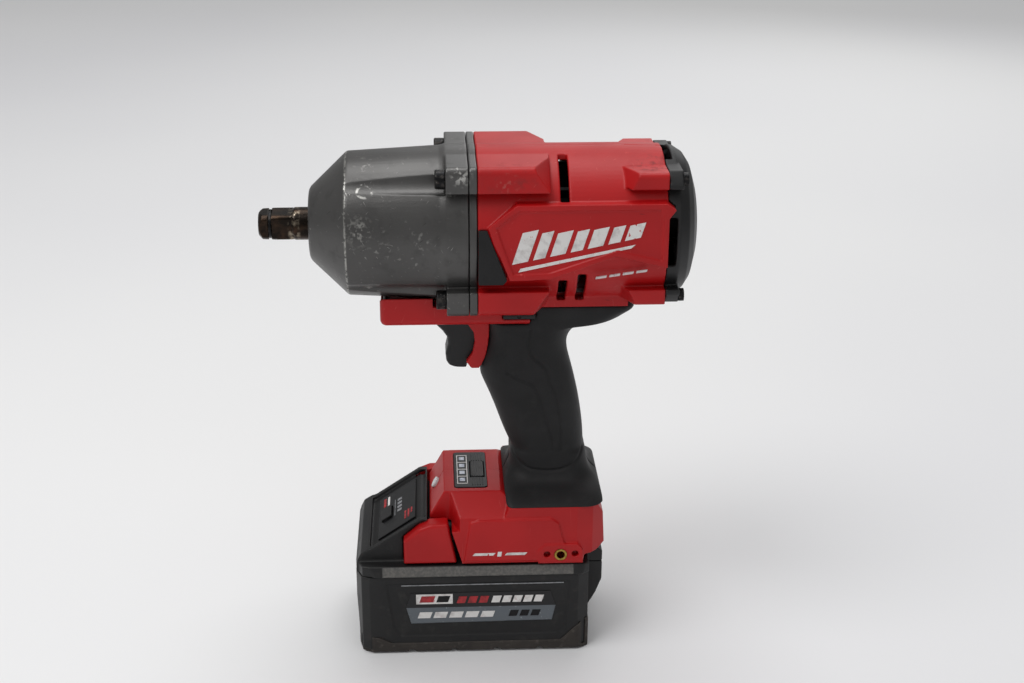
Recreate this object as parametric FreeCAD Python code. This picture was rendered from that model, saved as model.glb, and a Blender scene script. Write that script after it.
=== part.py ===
import FreeCAD, Part
import math
import os
from FreeCAD import Vector

# Cordless impact wrench with a half-inch square drive and a slide-on battery pack.
# Millimetres. +Z up, the nose points along -Y, X = 0 is the parting plane of the housing,
# and Z = 0 is the surface that the battery pack stands on.

# Driving dimensions
AXIS_Z = 220.0            # height of the spindle axis
TIP_Y = -106.5            # front end of the anvil
TAIL_Y = 106.5            # back of the rear cap
DRIVE_FLATS = 12.7        # half-inch square drive, across flats
DRIVE_TWIST = 7.0         # how far the square has stopped from level, in degrees
GAP = 0.3                 # between pieces that move past each other
RUNNING = 0.05            # radial clearance of a running fit

BARREL_R = 38.0           # red motor housing
WALL = 2.8                # moulded wall
CASE_FRONT_Y = -81.8      # nose face of the hammer case
CONE_END_Y = -63.5        # edge between cone and barrel of the hammer case
CASE_END_Y = -5.6         # back of the hammer case
PLATE_END_Y = -1.6        # back of the visible rim of the gear case
BARREL_END_Y = 88.0       # back of the red housing
SCREW_OFFSET = 29.7       # case screws sit on a square, at +-29.7 in X and Z from the axis
LUG_HALF = 36.7           # outside of the four screw lugs, from the parting plane
LUG_LOW = 24.2            # underside and top of the upper lugs, above the axis
LUG_HIGH = 36.5
LUG_CORNER = 3.4

SHANK_R = 8.0             # anvil shank
WING_HALF = 6.5           # half width of the anvil's wings
HAMMER_R = 27.5
CAMSHAFT_R = 9.5

GEAR_MODULE = 0.9
SUN_TEETH = 12
PLANET_TEETH = 21
RING_TEETH = 54
PLANET_ORBIT = GEAR_MODULE * (SUN_TEETH + PLANET_TEETH) / 2
MOTOR_SHAFT_R = 4.0
LEAD_R = 1.4

TONGUE_HALF = 21.0        # half width of the red bridge under the hammer case
TRIGGER_HALF = 8.4
SHUTTLE_HALF = 23.0

FOOT_HALF = 37.0
FOOT_BOTTOM_Z = 51.0
FOOT_TOP_Z = 85.5
BAY_HALF = 26.2           # inside of the slideway for the pack
BAY_TOP_Z = 69.0
LIP_HALF = 22.4           # between the two rails of the slideway
LIP_TOP_Z = 56.5

PACK_HALF = 38.0
PACK_FRONT_Y = -61.5
PACK_REAR_Y = 54.5
LEDGE_HALF = 39.0
CELL_R = 10.5
CELL_PITCH = 21.8
CELL_LENGTH = 70.0
CELL_MIDDLE_Y = -3.3
CELL_LAYERS_Z = (13.6, 35.2)
BUTTON_IN = 28.3          # inner face of a release button
BUTTON_OUT = 36.6
LABEL_FACE = ((-54.6, 55.2), (-31.0, 71.2))     # (y, z) foot and head of the pack's slanted label face
LABEL_MIDDLE = (-42.8, 63.2)

AXIS = Vector(0, 1, 0)
OUT = "parts"


# Shapes that every section uses

def turned(*outline):
    """Solid of revolution about the spindle axis, from (y, radius) points."""
    corners = [Vector(r, y, AXIS_Z) for y, r in outline]
    face = Part.Face(Part.makePolygon(corners + corners[:1]))
    return face.revolve(Vector(0, 0, AXIS_Z), AXIS, 360)


def rod(y0, y1, radius, x=0.0, z=AXIS_Z):
    """Cylinder along Y."""
    return Part.makeCylinder(radius, y1 - y0, Vector(x, y0, z), AXIS)


def ring(y0, y1, outer, inner):
    """Tube round the spindle axis."""
    return rod(y0, y1, outer).cut(rod(y0 - 1, y1 + 1, inner))


def cross_rod(x0, x1, radius, y, z):
    """Cylinder along X."""
    return Part.makeCylinder(radius, x1 - x0, Vector(x0, y, z), Vector(1, 0, 0))


def block(x0, x1, y0, y1, z0, z1):
    return Part.makeBox(x1 - x0, y1 - y0, z1 - z0, Vector(x0, y0, z0))


def prism(corners, along):
    return Part.Face(Part.makePolygon(corners + corners[:1])).extrude(along)


def side_slab(outline, x0, x1):
    """Side outline of (y, z) points, from x0 to x1."""
    return prism([Vector(x0, y, z) for y, z in outline], Vector(x1 - x0, 0, 0))


def front_slab(outline, y0, y1):
    """Front outline of (x, z) points, from y0 to y1."""
    return prism([Vector(x, y0, z) for x, z in outline], Vector(0, y1 - y0, 0))


def plan_slab(outline, z0, z1):
    """Plan outline of (x, y) points, from z0 to z1."""
    return prism([Vector(x, y, z0) for x, y in outline], Vector(0, 0, z1 - z0))


def round_section(z, y0, y1, half, corner, rear=None):
    """Closed wire at height z: y0..y1 by +-half with round corners, which may differ at the rear."""
    edges = []
    last = None
    first = None
    rear = rear or corner
    centres = [(half - rear, y1 - rear, 45, rear), (rear - half, y1 - rear, 135, rear),
               (corner - half, y0 + corner, 225, corner), (half - corner, y0 + corner, 315, corner)]
    for cx, cy, middle, radius in centres:
        ends = []
        for turn in (middle - 45, middle, middle + 45):
            angle = math.radians(turn)
            ends.append(Vector(cx + radius * math.cos(angle), cy + radius * math.sin(angle), z))
        if last is not None:
            edges.append(Part.makeLine(last, ends[0]))
        else:
            first = ends[0]
        edges.append(Part.Arc(*ends).toShape())
        last = ends[2]
    edges.append(Part.makeLine(last, first))
    return Part.Wire(edges)


def lofted(sections):
    return Part.makeLoft([round_section(*s) for s in sections], True, False)


def shrunk(sections, inset):
    """The same sections moved inwards by inset."""
    return [(z, y0 + inset, y1 - inset, half - inset, *[max(c - inset, 1.0) for c in corners])
            for z, y0, y1, half, *corners in sections]


def pillar(z0, z1, y0, y1, half, corner):
    """Upright block with round corners."""
    return Part.Face(round_section(z0, y0, y1, half, corner)).extrude(Vector(0, 0, z1 - z0))


def mirrored(shape):
    return shape.mirror(Vector(0, 0, 0), Vector(1, 0, 0))


def both(shape):
    return shape.fuse(mirrored(shape))


def around(shape, count, start=0.0):
    """Copies of a shape spaced evenly about the spindle axis."""
    copies = []
    for i in range(count):
        copy = shape.copy()
        copy.rotate(Vector(0, 0, AXIS_Z), AXIS, start + 360.0 * i / count)
        copies.append(copy)
    return copies


def joined(shapes):
    return shapes[0].multiFuse(shapes[1:])


def coil(radius, wire_r, length, turns, base, along):
    """Round-wire compression spring standing on base, along a direction."""
    rise = length - 2 * wire_r
    helix = Part.makeHelix(rise / turns, rise, radius)
    section = Part.Wire(Part.makeCircle(wire_r, Vector(radius, 0, 0), Vector(0, 1, 0)))
    spring = Part.Wire(helix.Edges).makePipeShell([section], True, True)
    spring.translate(Vector(0, 0, wire_r))
    spring.Placement = FreeCAD.Placement(
        base, FreeCAD.Rotation(Vector(0, 0, 1), along)).multiply(spring.Placement)
    return spring


def softened(shape, radius, wanted):
    """Fillet the edges that wanted(edge) picks."""
    picked = [e for e in shape.Edges if wanted(e)]
    return shape.makeFillet(radius, picked)


def save(name, shape):
    merged = shape.copy().removeSplitter()
    if merged.isValid():
        shape = merged
    shape.exportStep(os.path.join(OUT, name + ".step"))
    print(name, len(shape.Solids), round(shape.Volume), shape.isValid())


def save_halves(name, shape):
    """Left (+X) and right (-X) shells, parted on X = 0."""
    big = 400.0
    left = shape.common(block(0, big, -big, big, -big, big))
    right = shape.common(block(-big, 0, -big, big, -big, big))
    save(name + "_left", left)
    save(name + "_right", right)


def corner_places(offset_x, offset_z):
    return [(sx * offset_x, AXIS_Z + sz * offset_z) for sx in (1, -1) for sz in (1, -1)]


CASE_SCREWS = corner_places(SCREW_OFFSET, SCREW_OFFSET)


def lug_bar(y0, y1, half_x, low, high, corner):
    """Bar across the whole width, low to high above the axis, with rounded outer top corners."""
    bar = block(-half_x, half_x, y0, y1, AXIS_Z + low, AXIS_Z + high)
    return softened(bar, corner, lambda e: e.BoundBox.ZMin > AXIS_Z + high - 0.1
                    and e.BoundBox.YLength > y1 - y0 - 0.1)


def above_and_below(shape):
    return shape.fuse(shape.mirror(Vector(0, 0, AXIS_Z), Vector(0, 0, 1)))


def cut_beyond(shape, point, normal):
    """Remove what lies past the plane through point, on the side that normal points to."""
    cutter = Part.makeBox(200, 200, 200, Vector(-100, -100, 0))
    turn = FreeCAD.Rotation(Vector(0, 0, 1), Vector(*normal))
    cutter.Placement = FreeCAD.Placement(Vector(*point), turn).multiply(cutter.Placement)
    return shape.cut(cutter)


def case_lugs(y0, y1):
    return above_and_below(lug_bar(y0, y1, LUG_HALF, LUG_LOW, LUG_HIGH, LUG_CORNER))


# Hammer case, its bushing and the screws that hold it

def hammer_case():
    shell = turned((CASE_FRONT_Y, 8.6), (CASE_FRONT_Y, 16.6), (-80.9, 18.2), (-64.2, 34.2),
                   (CONE_END_Y, 34.8), (-62.6, 35.0), (-19.0, 37.4), (-16.3, 38.0),
                   (CASE_END_Y, 38.0), (CASE_END_Y, 33.0), (-24.0, 33.0), (-58.4, 30.5),
                   (-60.0, 27.0), (-60.0, 12.0), (-79.6, 12.0), (-79.6, 8.6))
    shell = shell.fuse(case_lugs(-16.3, CASE_END_Y)).cut(turned(
        (CASE_END_Y + 1, 0), (CASE_END_Y + 1, 33.0), (-24.0, 33.0), (-58.4, 30.5), (-58.4, 0)))
    for x, z in CASE_SCREWS:
        shell = shell.cut(rod(-70, -16.3, 7.6, x, z))
        shell = shell.cut(rod(-20, 0, 2.7, x, z))
    return shell


def case_screws():
    screws = []
    for x, z in CASE_SCREWS:
        head = rod(-21.3, -16.3, 4.6, x, z)
        head = head.makeChamfer(0.5, [e for e in head.Edges if e.BoundBox.YMax < -21.2])
        socket = Part.Face(Part.makePolygon([
            Vector(x + 2.3 * math.cos(math.radians(60 * i)), -21.3,
                   z + 2.3 * math.sin(math.radians(60 * i))) for i in range(7)]))
        head = head.cut(socket.extrude(Vector(0, 2.6, 0)))
        screws.append(head.fuse(rod(-16.3, 20.0, 2.5, x, z)))
    return Part.makeCompound(screws)


def nose_bushing():
    return ring(-79.6, -60.2, 11.98, SHANK_R + RUNNING)


# Anvil: square drive, shank and two wings that the hammer strikes

def anvil():
    half = DRIVE_FLATS / 2
    square = block(-half, half, TIP_Y, -88.6, AXIS_Z - half, AXIS_Z + half)
    square = softened(square, 1.9, lambda e: abs(e.BoundBox.YLength - 17.9) < 0.1)
    square = square.common(turned((TIP_Y, 0), (TIP_Y, 5.6), (TIP_Y + 1.8, 7.6),
                                  (-91.0, 8.6), (-88.6, 7.2), (-88.6, 0)))
    square = square.cut(ring(-101.6, -100.2, 12.0, 5.6))
    square.rotate(Vector(0, 0, AXIS_Z), AXIS, DRIVE_TWIST)
    body = turned((-90.2, 0), (-90.2, 7.2), (-89.0, SHANK_R), (-59.9, SHANK_R), (-59.9, 11.0),
                  (-50.3, 11.0), (-50.3, 0))
    wings = block(-26.5, 26.5, -58.2, -50.3, AXIS_Z - WING_HALF, AXIS_Z + WING_HALF)
    wings = wings.common(rod(-60, -50, 26.5))
    body = body.fuse(square).fuse(wings)
    return body.cut(rod(-58.0, -50.0, 4.0 + RUNNING))


def friction_ring():
    hoop = ring(-101.5, -100.3, 7.0, 5.6)
    return hoop.cut(block(-0.8, 0.8, -102, -100, AXIS_Z, AXIS_Z + 12))


# Impact mechanism: the hammer slides and turns on the camshaft against its spring

def hammer():
    body = turned((-49.8, CAMSHAFT_R + RUNNING), (-49.8, 26.0), (-48.3, HAMMER_R), (-17.5, HAMMER_R),
                  (-17.5, 21.0), (-42.0, 21.0), (-42.0, 13.4), (-17.5, 13.4),
                  (-17.5, CAMSHAFT_R + RUNNING))
    # The anvil's wings lie along X, and each lug stands beside one of their long sides.
    lug = block(6.0, 30.0, -57.6, -49.0, AXIS_Z - 20.0, AXIS_Z - WING_HALF - GAP)
    lug = lug.common(ring(-58, -48, 26.5, 12.4))
    for lug_copy in around(lug, 2):
        body = body.fuse(lug_copy)
    for groove in around(rod(-49.9, -30.0, 2.9, 0, AXIS_Z + 10.4), 2, 0.0):
        body = body.cut(groove)
    return body


def cam_balls():
    ball = Part.makeSphere(2.7, Vector(0, -34.0, AXIS_Z + 10.4))
    return Part.makeCompound(around(ball, 2, 0.0))


def camshaft_carrier():
    shaft = turned((-57.4, 0), (-57.4, 4.0), (-50.0, 4.0), (-50.0, CAMSHAFT_R), (-5.4, CAMSHAFT_R),
                   (-5.4, 22.0), (-1.8, 22.0), (-1.8, 0))
    groove = Part.makeTorus(10.4, 2.9, Vector(0, -34.0, AXIS_Z), AXIS)
    shaft = shaft.cut(groove)
    rear = ring(8.6, 11.6, 22.0, 7.2)
    web = rod(-2.0, 9.0, 3.8, 0, AXIS_Z + 17.6)
    shaft = joined([shaft, rear] + around(web, 3, 60.0))
    for pin in around(rod(-6, 12, 2.5, 0, AXIS_Z + PLANET_ORBIT), 3):
        shaft = shaft.cut(pin)
    return shaft


def planet_pins():
    return Part.makeCompound(around(rod(-5.0, 11.2, 2.5, 0, AXIS_Z + PLANET_ORBIT), 3))


def hammer_spring():
    return coil(17.2, 1.9, 36.2, 6, Vector(0, -41.8, AXIS_Z), AXIS)


# Planetary gears

def gear_outline(teeth, inward, backlash, phase):
    """Corners (x, z) of a gear with straight flanks; inward is for the ring gear."""
    pitch_r = GEAR_MODULE * teeth / 2
    sign = -1 if inward else 1
    tip = 0.9 * GEAR_MODULE
    root = 1.2 * GEAR_MODULE
    half = math.pi * GEAR_MODULE / 4 - backlash
    lean = math.tan(math.radians(20))
    corners = []
    for i in range(teeth):
        middle = math.radians(phase) + 2 * math.pi * i / teeth
        for side, height in ((-1, -root), (-1, tip), (1, tip), (1, -root)):
            radius = pitch_r + sign * height
            angle = middle + side * (half - height * lean) / radius
            corners.append((radius * math.sin(angle), radius * math.cos(angle)))
    return corners


def gear_block(outline, y0, y1, x=0.0, z=AXIS_Z):
    return front_slab([(x + cx, z + cz) for cx, cz in outline], y0, y1)


def planet_gear(turn):
    angle = math.radians(turn)
    x = PLANET_ORBIT * math.sin(angle)
    z = AXIS_Z + PLANET_ORBIT * math.cos(angle)
    gear = gear_block(gear_outline(PLANET_TEETH, False, 0.13, turn), -1.4, 8.2, x, z)
    return gear.cut(rod(-3, 10, 2.5 + RUNNING, x, z))


def ring_gear():
    hoop = rod(-3.0, 12.4, 28.9)
    half_pitch = 180.0 / RING_TEETH
    return hoop.cut(gear_block(gear_outline(RING_TEETH, True, 0.13, half_pitch), -4, 13))


def gear_case():
    rim = ring(CASE_END_Y + 0.2, PLATE_END_Y, 38.0, 29.0)
    rim = rim.fuse(case_lugs(CASE_END_Y + 0.2, PLATE_END_Y))
    cup = turned((-2.0, 29.0), (-2.0, 32.6), (22.0, 32.6), (26.0, 28.0), (26.0, 11.0),
                 (18.0, 11.0), (18.0, 29.0))
    lip = ring(16.0, 18.5, 29.5, 12.0)
    case = rim.cut(rod(-10, 30, 28.95)).fuse(cup).fuse(lip)
    for x, z in CASE_SCREWS:
        case = case.cut(rod(-10, 0, 2.7, x, z))
    return case


# Brushless motor

def rotor_shaft():
    shaft = rod(8.0, 94.0, MOTOR_SHAFT_R)
    pinion = gear_block(gear_outline(SUN_TEETH, False, 0.13, 0.0), -1.2, 9.0)
    return shaft.fuse(pinion)


def rotor_core():
    return ring(56.0, 76.0, 17.5, MOTOR_SHAFT_R)


def cooling_fan():
    hub = ring(34.0, 48.0, 7.0, MOTOR_SHAFT_R)
    disc = ring(46.4, 48.0, 30.5, MOTOR_SHAFT_R)
    blade = block(-0.7, 0.7, 36.0, 46.6, AXIS_Z + 13.0, AXIS_Z + 30.0)
    blade.rotate(Vector(0, 40, AXIS_Z + 20.0), AXIS, 28.0)
    return joined([hub, disc] + around(blade, 11))


def stator_core():
    core = ring(56.0, 76.0, 31.0, 18.0)
    slot = block(-4.6, 4.6, 55, 77, AXIS_Z + 20.5, AXIS_Z + 27.0)
    for gap in around(slot, 6, 30.0):
        core = core.cut(gap)
    return core


def stator_windings():
    bundle = block(-4.2, 4.2, 51.0, 81.0, AXIS_Z + 20.8, AXIS_Z + 26.6)
    front = ring(50.5, 55.8, 27.5, 19.5)
    rear = ring(76.2, 81.5, 27.5, 19.5)
    return joined([front, rear] + around(bundle, 6, 30.0))


def motor_board():
    return ring(82.2, 83.8, 28.0, 9.0)


def ball_bearing(y0, y1, outer):
    """Sealed ball bearing on the motor shaft."""
    body = ring(y0, y1, outer, MOTOR_SHAFT_R + RUNNING)
    seal = ring(y0 - 1, y0 + 0.4, outer - 1.2, MOTOR_SHAFT_R + 1.4)
    return body.cut(seal)


# Red housing. Its outside is built once, hollowed, and parted into two shells.

STRAP = [(5.2, 176.0), (4.6, 165.0), (4.1, 159.7), (3.1, 154.4), (1.1, 149.6), (-0.4, 147.4),
         (-4.3, 147.4), (-6.8, 150.8), (-3.6, 155.5), (-2.4, 161.4), (-3.0, 166.4), (-5.7, 170.4),
         (-9.6, 173.5), (-9.6, 178.0)]
GRIP = [(84.0, 17.0, 54.5, 17.6, 12.5), (96.0, 16.2, 53.4, 17.0, 12.5),
        (108.0, 13.8, 52.8, 16.8, 12.5), (122.0, 8.6, 51.3, 17.2, 12.5),
        (136.0, 3.2, 48.7, 17.8, 12.8), (148.0, -0.3, 45.6, 18.0, 12.8),
        (158.0, 2.6, 43.6, 18.0, 12.6), (164.6, 4.2, 44.8, 18.4, 12.0, 13.0),
        (168.8, 4.4, 49.4, 18.8, 11.0, 15.0), (171.0, 4.4, 61.0, 19.2, 10.0, 16.0),
        (172.6, 4.4, 68.4, 19.4, 10.0, 16.0), (177.4, 4.4, 75.6, 19.8, 9.0, 14.0),
        (183.4, 4.4, 74.0, 19.8, 9.0, 12.0)]
COLLAR = [(81.5, 12.6, 61.7, 37.0, 3.6, 9.0), (84.0, 12.0, 61.0, 32.2, 4.4, 9.5),
          (86.2, 11.8, 60.0, 26.6, 6.0, 10.0), (88.4, 12.8, 57.8, 21.6, 8.5, 11.0),
          (92.0, 14.8, 55.6, 18.8, 11.5, 11.5), (97.0, 15.3, 54.6, 18.0, 12.0, 12.0),
          (102.0, 15.5, 53.6, 17.4, 12.0, 12.0)]
SKIN = 2.2                # thickness of the rubber over the core
REAR_LUG_HALF = 34.4


def barrel():
    outer = turned((PLATE_END_Y + 0.2, 0), (PLATE_END_Y + 0.2, BARREL_R), (70.0, BARREL_R),
                   (BARREL_END_Y, 37.4), (BARREL_END_Y, 0))
    front = lug_bar(PLATE_END_Y + 0.2, 32.6, LUG_HALF, LUG_LOW, LUG_HIGH, LUG_CORNER)
    rear = lug_bar(67.4, BARREL_END_Y, REAR_LUG_HALF, LUG_LOW + 0.4, 32.6, 2.4)
    for side in (1, -1):
        front = cut_beyond(front, (side * 35.5, 25.5, AXIS_Z + 35.2), (side * 0.343, 0.785, 0.515))
        rear = cut_beyond(rear, (side * 33.5, 73.5, AXIS_Z + 31.5), (side * 0.395, -0.82, 0.413))
    return outer.fuse(above_and_below(front.fuse(rear)))


PANEL = [(3.3, 228.3), (16.7, 239.0), (87.1, 239.2), (91.2, 236.0), (88.0, 231.7), (88.0, 207.6),
         (63.9, 213.8), (32.5, 202.8), (13.6, 202.1)]
PANEL_FLOOR = [(7.0, 228.2), (17.6, 236.4), (84.0, 236.6), (85.6, 231.0), (85.6, 211.0),
               (64.2, 216.4), (32.2, 205.6), (15.0, 205.0)]
PATCH = [(-1.2, 227.0), (2.8, 227.0), (12.2, 202.3), (10.3, 200.3), (-1.2, 200.3)]


def foot_core():
    side = side_slab([(-26.0, 70.2), (-26.0, 72.4), (-18.7, FOOT_TOP_Z), (10.0, FOOT_TOP_Z),
                      (14.0, 83.0), (58.0, 82.0), (61.6, 75.0), (62.6, 57.4), (58.8, 55.0), (52.0, 54.0),
                      (51.5, FOOT_BOTTOM_Z), (-10.0, FOOT_BOTTOM_Z), (-15.2, 69.0)], -60, 60)
    front = front_slab([(FOOT_HALF, 40.0), (FOOT_HALF, 76.2), (24.4, FOOT_TOP_Z), (-24.4, FOOT_TOP_Z),
                        (-FOOT_HALF, 76.2), (-FOOT_HALF, 40.0)], -60, 80)
    front = front.fuse(side_slab([(11.0, 75.0), (13.4, 81.5), (70.0, 81.5), (70.0, 75.0)],
                                 -FOOT_HALF, FOOT_HALF))
    plan = plan_slab([(24.4, -40), (24.4, -15.6), (FOOT_HALF, -11.0), (FOOT_HALF, 48.0), (34.5, 56.0),
                      (28.0, 62.8), (-28.0, 62.8), (-34.5, 56.0), (-FOOT_HALF, 48.0), (-FOOT_HALF, -11.0),
                      (-24.4, -15.6), (-24.4, -40)], 30, 100)
    low = plan_slab([(-FOOT_HALF, -40), (FOOT_HALF, -40), (FOOT_HALF, 48.0), (34.5, 56.0), (28.0, 62.8),
                     (-28.0, 62.8), (-34.5, 56.0), (-FOOT_HALF, 48.0)], 30, 68.9)
    return side.common(front).common(plan.fuse(low))


RAISED = [(-5.8, 74.2), (-1.8, 75.6), (34.9, 75.8), (38.5, 73.2), (41.2, 62.7), (41.2, 52.5), (-9.0, 52.5)]
BOSS = [(28.3, 51.0), (28.3, 57.8), (31.8, 61.4), (48.4, 61.9), (51.0, 57.8), (51.0, 51.0)]
INSERT_PLACE = (39.7, 55.8)
DIMPLES = ((32.8, 56.0), (47.0, 56.2))


def housing_outside():
    body = barrel()
    bridge = block(-TONGUE_HALF, TONGUE_HALF, -48.6, 26.0, 173.3, 192.0)
    bridge = softened(bridge, 3.0, lambda e: e.BoundBox.ZMax < 173.4 and e.BoundBox.YLength > 50
                      or e.BoundBox.YMax < -48.5 and e.BoundBox.ZMin < 173.4)
    bridge = bridge.cut(side_slab([(24.4, 170.0), (24.4, 176.2), (27.7, 180.8), (31.6, 182.3), (40, 182.3),
                                   (40, 170.0)], -40, 40))
    over_neck = block(-20.6, 20.6, 10.0, 72.0, 182.3, 200.0)
    rear_slant = [(72.5, 181), (72.5, 190), (66, 201), (80, 201), (80, 181)]
    over_neck = over_neck.cut(side_slab(rear_slant, -40, 40))
    strap = side_slab(STRAP, -12.0, 12.0)
    core = lofted(shrunk(GRIP, SKIN))
    foot = foot_core()
    foot = foot.fuse(both(side_slab(RAISED, 30.0, 38.3)))
    foot = foot.fuse(both(side_slab(BOSS, 30.0, 38.8)))
    collar = lofted(shrunk(COLLAR, SKIN))
    body = joined([body, bridge, over_neck, strap, core, foot, collar])
    panel = side_slab(PANEL, 20.0, 38.6).cut(side_slab(PANEL_FLOOR, 37.7, 45.0))
    body = body.fuse(both(panel)).cut(both(side_slab(PANEL_FLOOR, 37.7, 45.0)))
    # Room for the hammer case and the gear case
    body = body.cut(rod(-60, PLATE_END_Y + 0.2, 38.0 + GAP))
    clear = LUG_HALF + GAP
    body = body.cut(block(-clear, clear, -23.0, PLATE_END_Y + 0.2, AXIS_Z - LUG_HIGH - GAP, AXIS_Z))
    return body


def vent_cuts():
    upper = block(11.0, 33.0, 37.4, 41.6, 230.0, 262.0)
    upper = upper.cut(rod(30, 50, BARREL_R - WALL - 1.2))
    lower = block(13.0, 42.0, 37.0, 41.2, 186.0, 200.2).fuse(block(13.0, 42.0, 46.0, 50.2, 186.0, 203.7))
    return both(upper.fuse(lower))


# Place (y, z) of each screw and how deep its head sits from the parting plane
SHELL_SCREWS = ((-46.0, 181.4, 19.0), (19.0, 184.6, 18.6), (62.0, 177.5, 15.0), (34.0, 156.0, 14.0),
                (46.0, 117.0, 13.0), (55.0, 74.0, 28.0), (-14.0, 78.0, 21.5))


def shell_screws():
    """Screws driven from the right-hand side (-X) that clamp the two shells."""
    screws = []
    for y, z, depth in SHELL_SCREWS:
        head = cross_rod(-depth, 2.4 - depth, 3.0, y, z)
        socket = cross_rod(-depth - 1, 1.4 - depth, 1.5, y, z)
        screws.append(head.cut(socket).fuse(cross_rod(2.4 - depth, 8.0, 1.5, y, z)))
    return screws


def screw_wells():
    wells = []
    for y, z, depth in SHELL_SCREWS:
        wells.append(cross_rod(-60.0, 2.4 - depth, 3.1, y, z))
        wells.append(cross_rod(-depth, 8.2, 1.6, y, z))
    return joined(wells)


def housing_inside():
    bore = turned((-5, 0), (-5, 33.0), (24.0, 33.0), (24.0, 35.2), (57.0, 35.2), (57.0, 31.1), (60.0, 31.1),
                  (60.0, 35.2), (72.0, 35.2), (72.0, 31.1), (75.0, 31.1), (75.0, 35.2), (95, 35.2), (95, 0))
    bridge = block(-17.5, 17.5, -44.0, -11.0, 177.0, 179.4)
    switch_room = block(-TRIGGER_HALF - GAP, TRIGGER_HALF + GAP, -30.0, 9.0, 140.0, 172.6)
    switch_side = [(-30, 140), (9.0, 146.0), (9.0, 172.6), (-30, 172.6)]
    switch_room = switch_room.common(side_slab(switch_side, -20, 20))
    body_room = block(-12.5, 12.5, 8.0, 40.0, 146.0, 172.0)
    grip_room = lofted(shrunk(GRIP[:6], SKIN + 2.6))
    tunnel = block(-8.0, 8.0, 36.0, 43.0, 165.0, 190.0)
    shuttle = block(-40, 40, 10.9, 27.1, 176.4, 180.4)
    bay = front_slab([(-BAY_HALF, 40), (-BAY_HALF, 52.6), (-LIP_HALF, 52.6), (-LIP_HALF, LIP_TOP_Z),
                      (-BAY_HALF, LIP_TOP_Z), (-BAY_HALF, BAY_TOP_Z), (BAY_HALF, BAY_TOP_Z),
                      (BAY_HALF, LIP_TOP_Z), (LIP_HALF, LIP_TOP_Z), (LIP_HALF, 52.6), (BAY_HALF, 52.6),
                      (BAY_HALF, 40)], -40, 54.6)
    attic = block(-18.0, 18.0, -12.0, 50.0, 71.4, 82.4)
    return joined([bore, bridge, switch_room, body_room, grip_room, tunnel, shuttle, bay, attic])


def grip_rubber(core):
    skin = lofted(GRIP).fuse(lofted(COLLAR))
    skin = skin.cut(core)
    skin = skin.cut(side_slab(STRAP, -13.0, 13.0))
    skin = skin.cut(block(-30, 30, -60, 24.4, 173.3, 200))
    return skin


# Controls

TRIGGER_OUTLINE = [(-21.4, 172.2), (-21.4, 168.8), (-18.4, 165.8), (-16.0, 162.2), (-15.8, 158.4),
                   (-17.0, 153.4), (-16.6, 149.6), (-15.2, 147.4), (-13.2, 146.5), (-6.6, 146.4),
                   (-6.0, 150.0), (0.2, 152.0), (0.2, 172.2)]


def trigger():
    body = side_slab(TRIGGER_OUTLINE, -TRIGGER_HALF, TRIGGER_HALF)
    body = softened(body, 2.2, lambda e: e.BoundBox.YMax < -13.0 and e.BoundBox.XLength < 0.1
                    and e.BoundBox.ZMax < 170)
    return body.cut(Part.makeCylinder(3.2, 6.0, Vector(0, -3.8, 162.0), AXIS))


def switch_body():
    body = block(-8.2, 8.2, 9.2, 30.0, 147.0, 171.6)
    seat = Part.makeCylinder(1.2, 5.0, Vector(0, 4.4, 162.0), AXIS)
    return body.fuse(seat)


def direction_shuttle():
    bar = block(-SHUTTLE_HALF, SHUTTLE_HALF, 11.2, 26.8, 176.8, 180.0)
    bar = softened(bar, 1.2, lambda e: e.BoundBox.YLength > 15)
    for x in (-SHUTTLE_HALF, SHUTTLE_HALF - 0.8):
        bar = bar.cut(cross_rod(x, x + 0.8, 1.0, 19.0, 178.4))
    return bar


def mode_panel():
    plate = pillar(83.4, FOOT_TOP_Z + 0.3, -13.4, 3.4, 20.5, 1.8)
    return plate.cut(block(-9.3, 9.3, -5.2, 2.2, 82, 90))


def mode_button():
    return pillar(83.0, FOOT_TOP_Z + 0.6, -5.2 + GAP, 2.2 - GAP, 9.3 - GAP, 1.2)


def lamp_lens():
    return Part.makeCylinder(2.9, 3.2, Vector(0, -20.9, 77.6), Vector(0, -13.1, 7.3))


def accessory_insert():
    y, z = INSERT_PLACE
    return cross_rod(32.8, 38.8, 3.1, y, z).cut(cross_rod(32.0, 39.0, 2.1, y, z))


# Rear cap

REAR_SCREWS = corner_places(29.6, 28.6)


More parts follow.
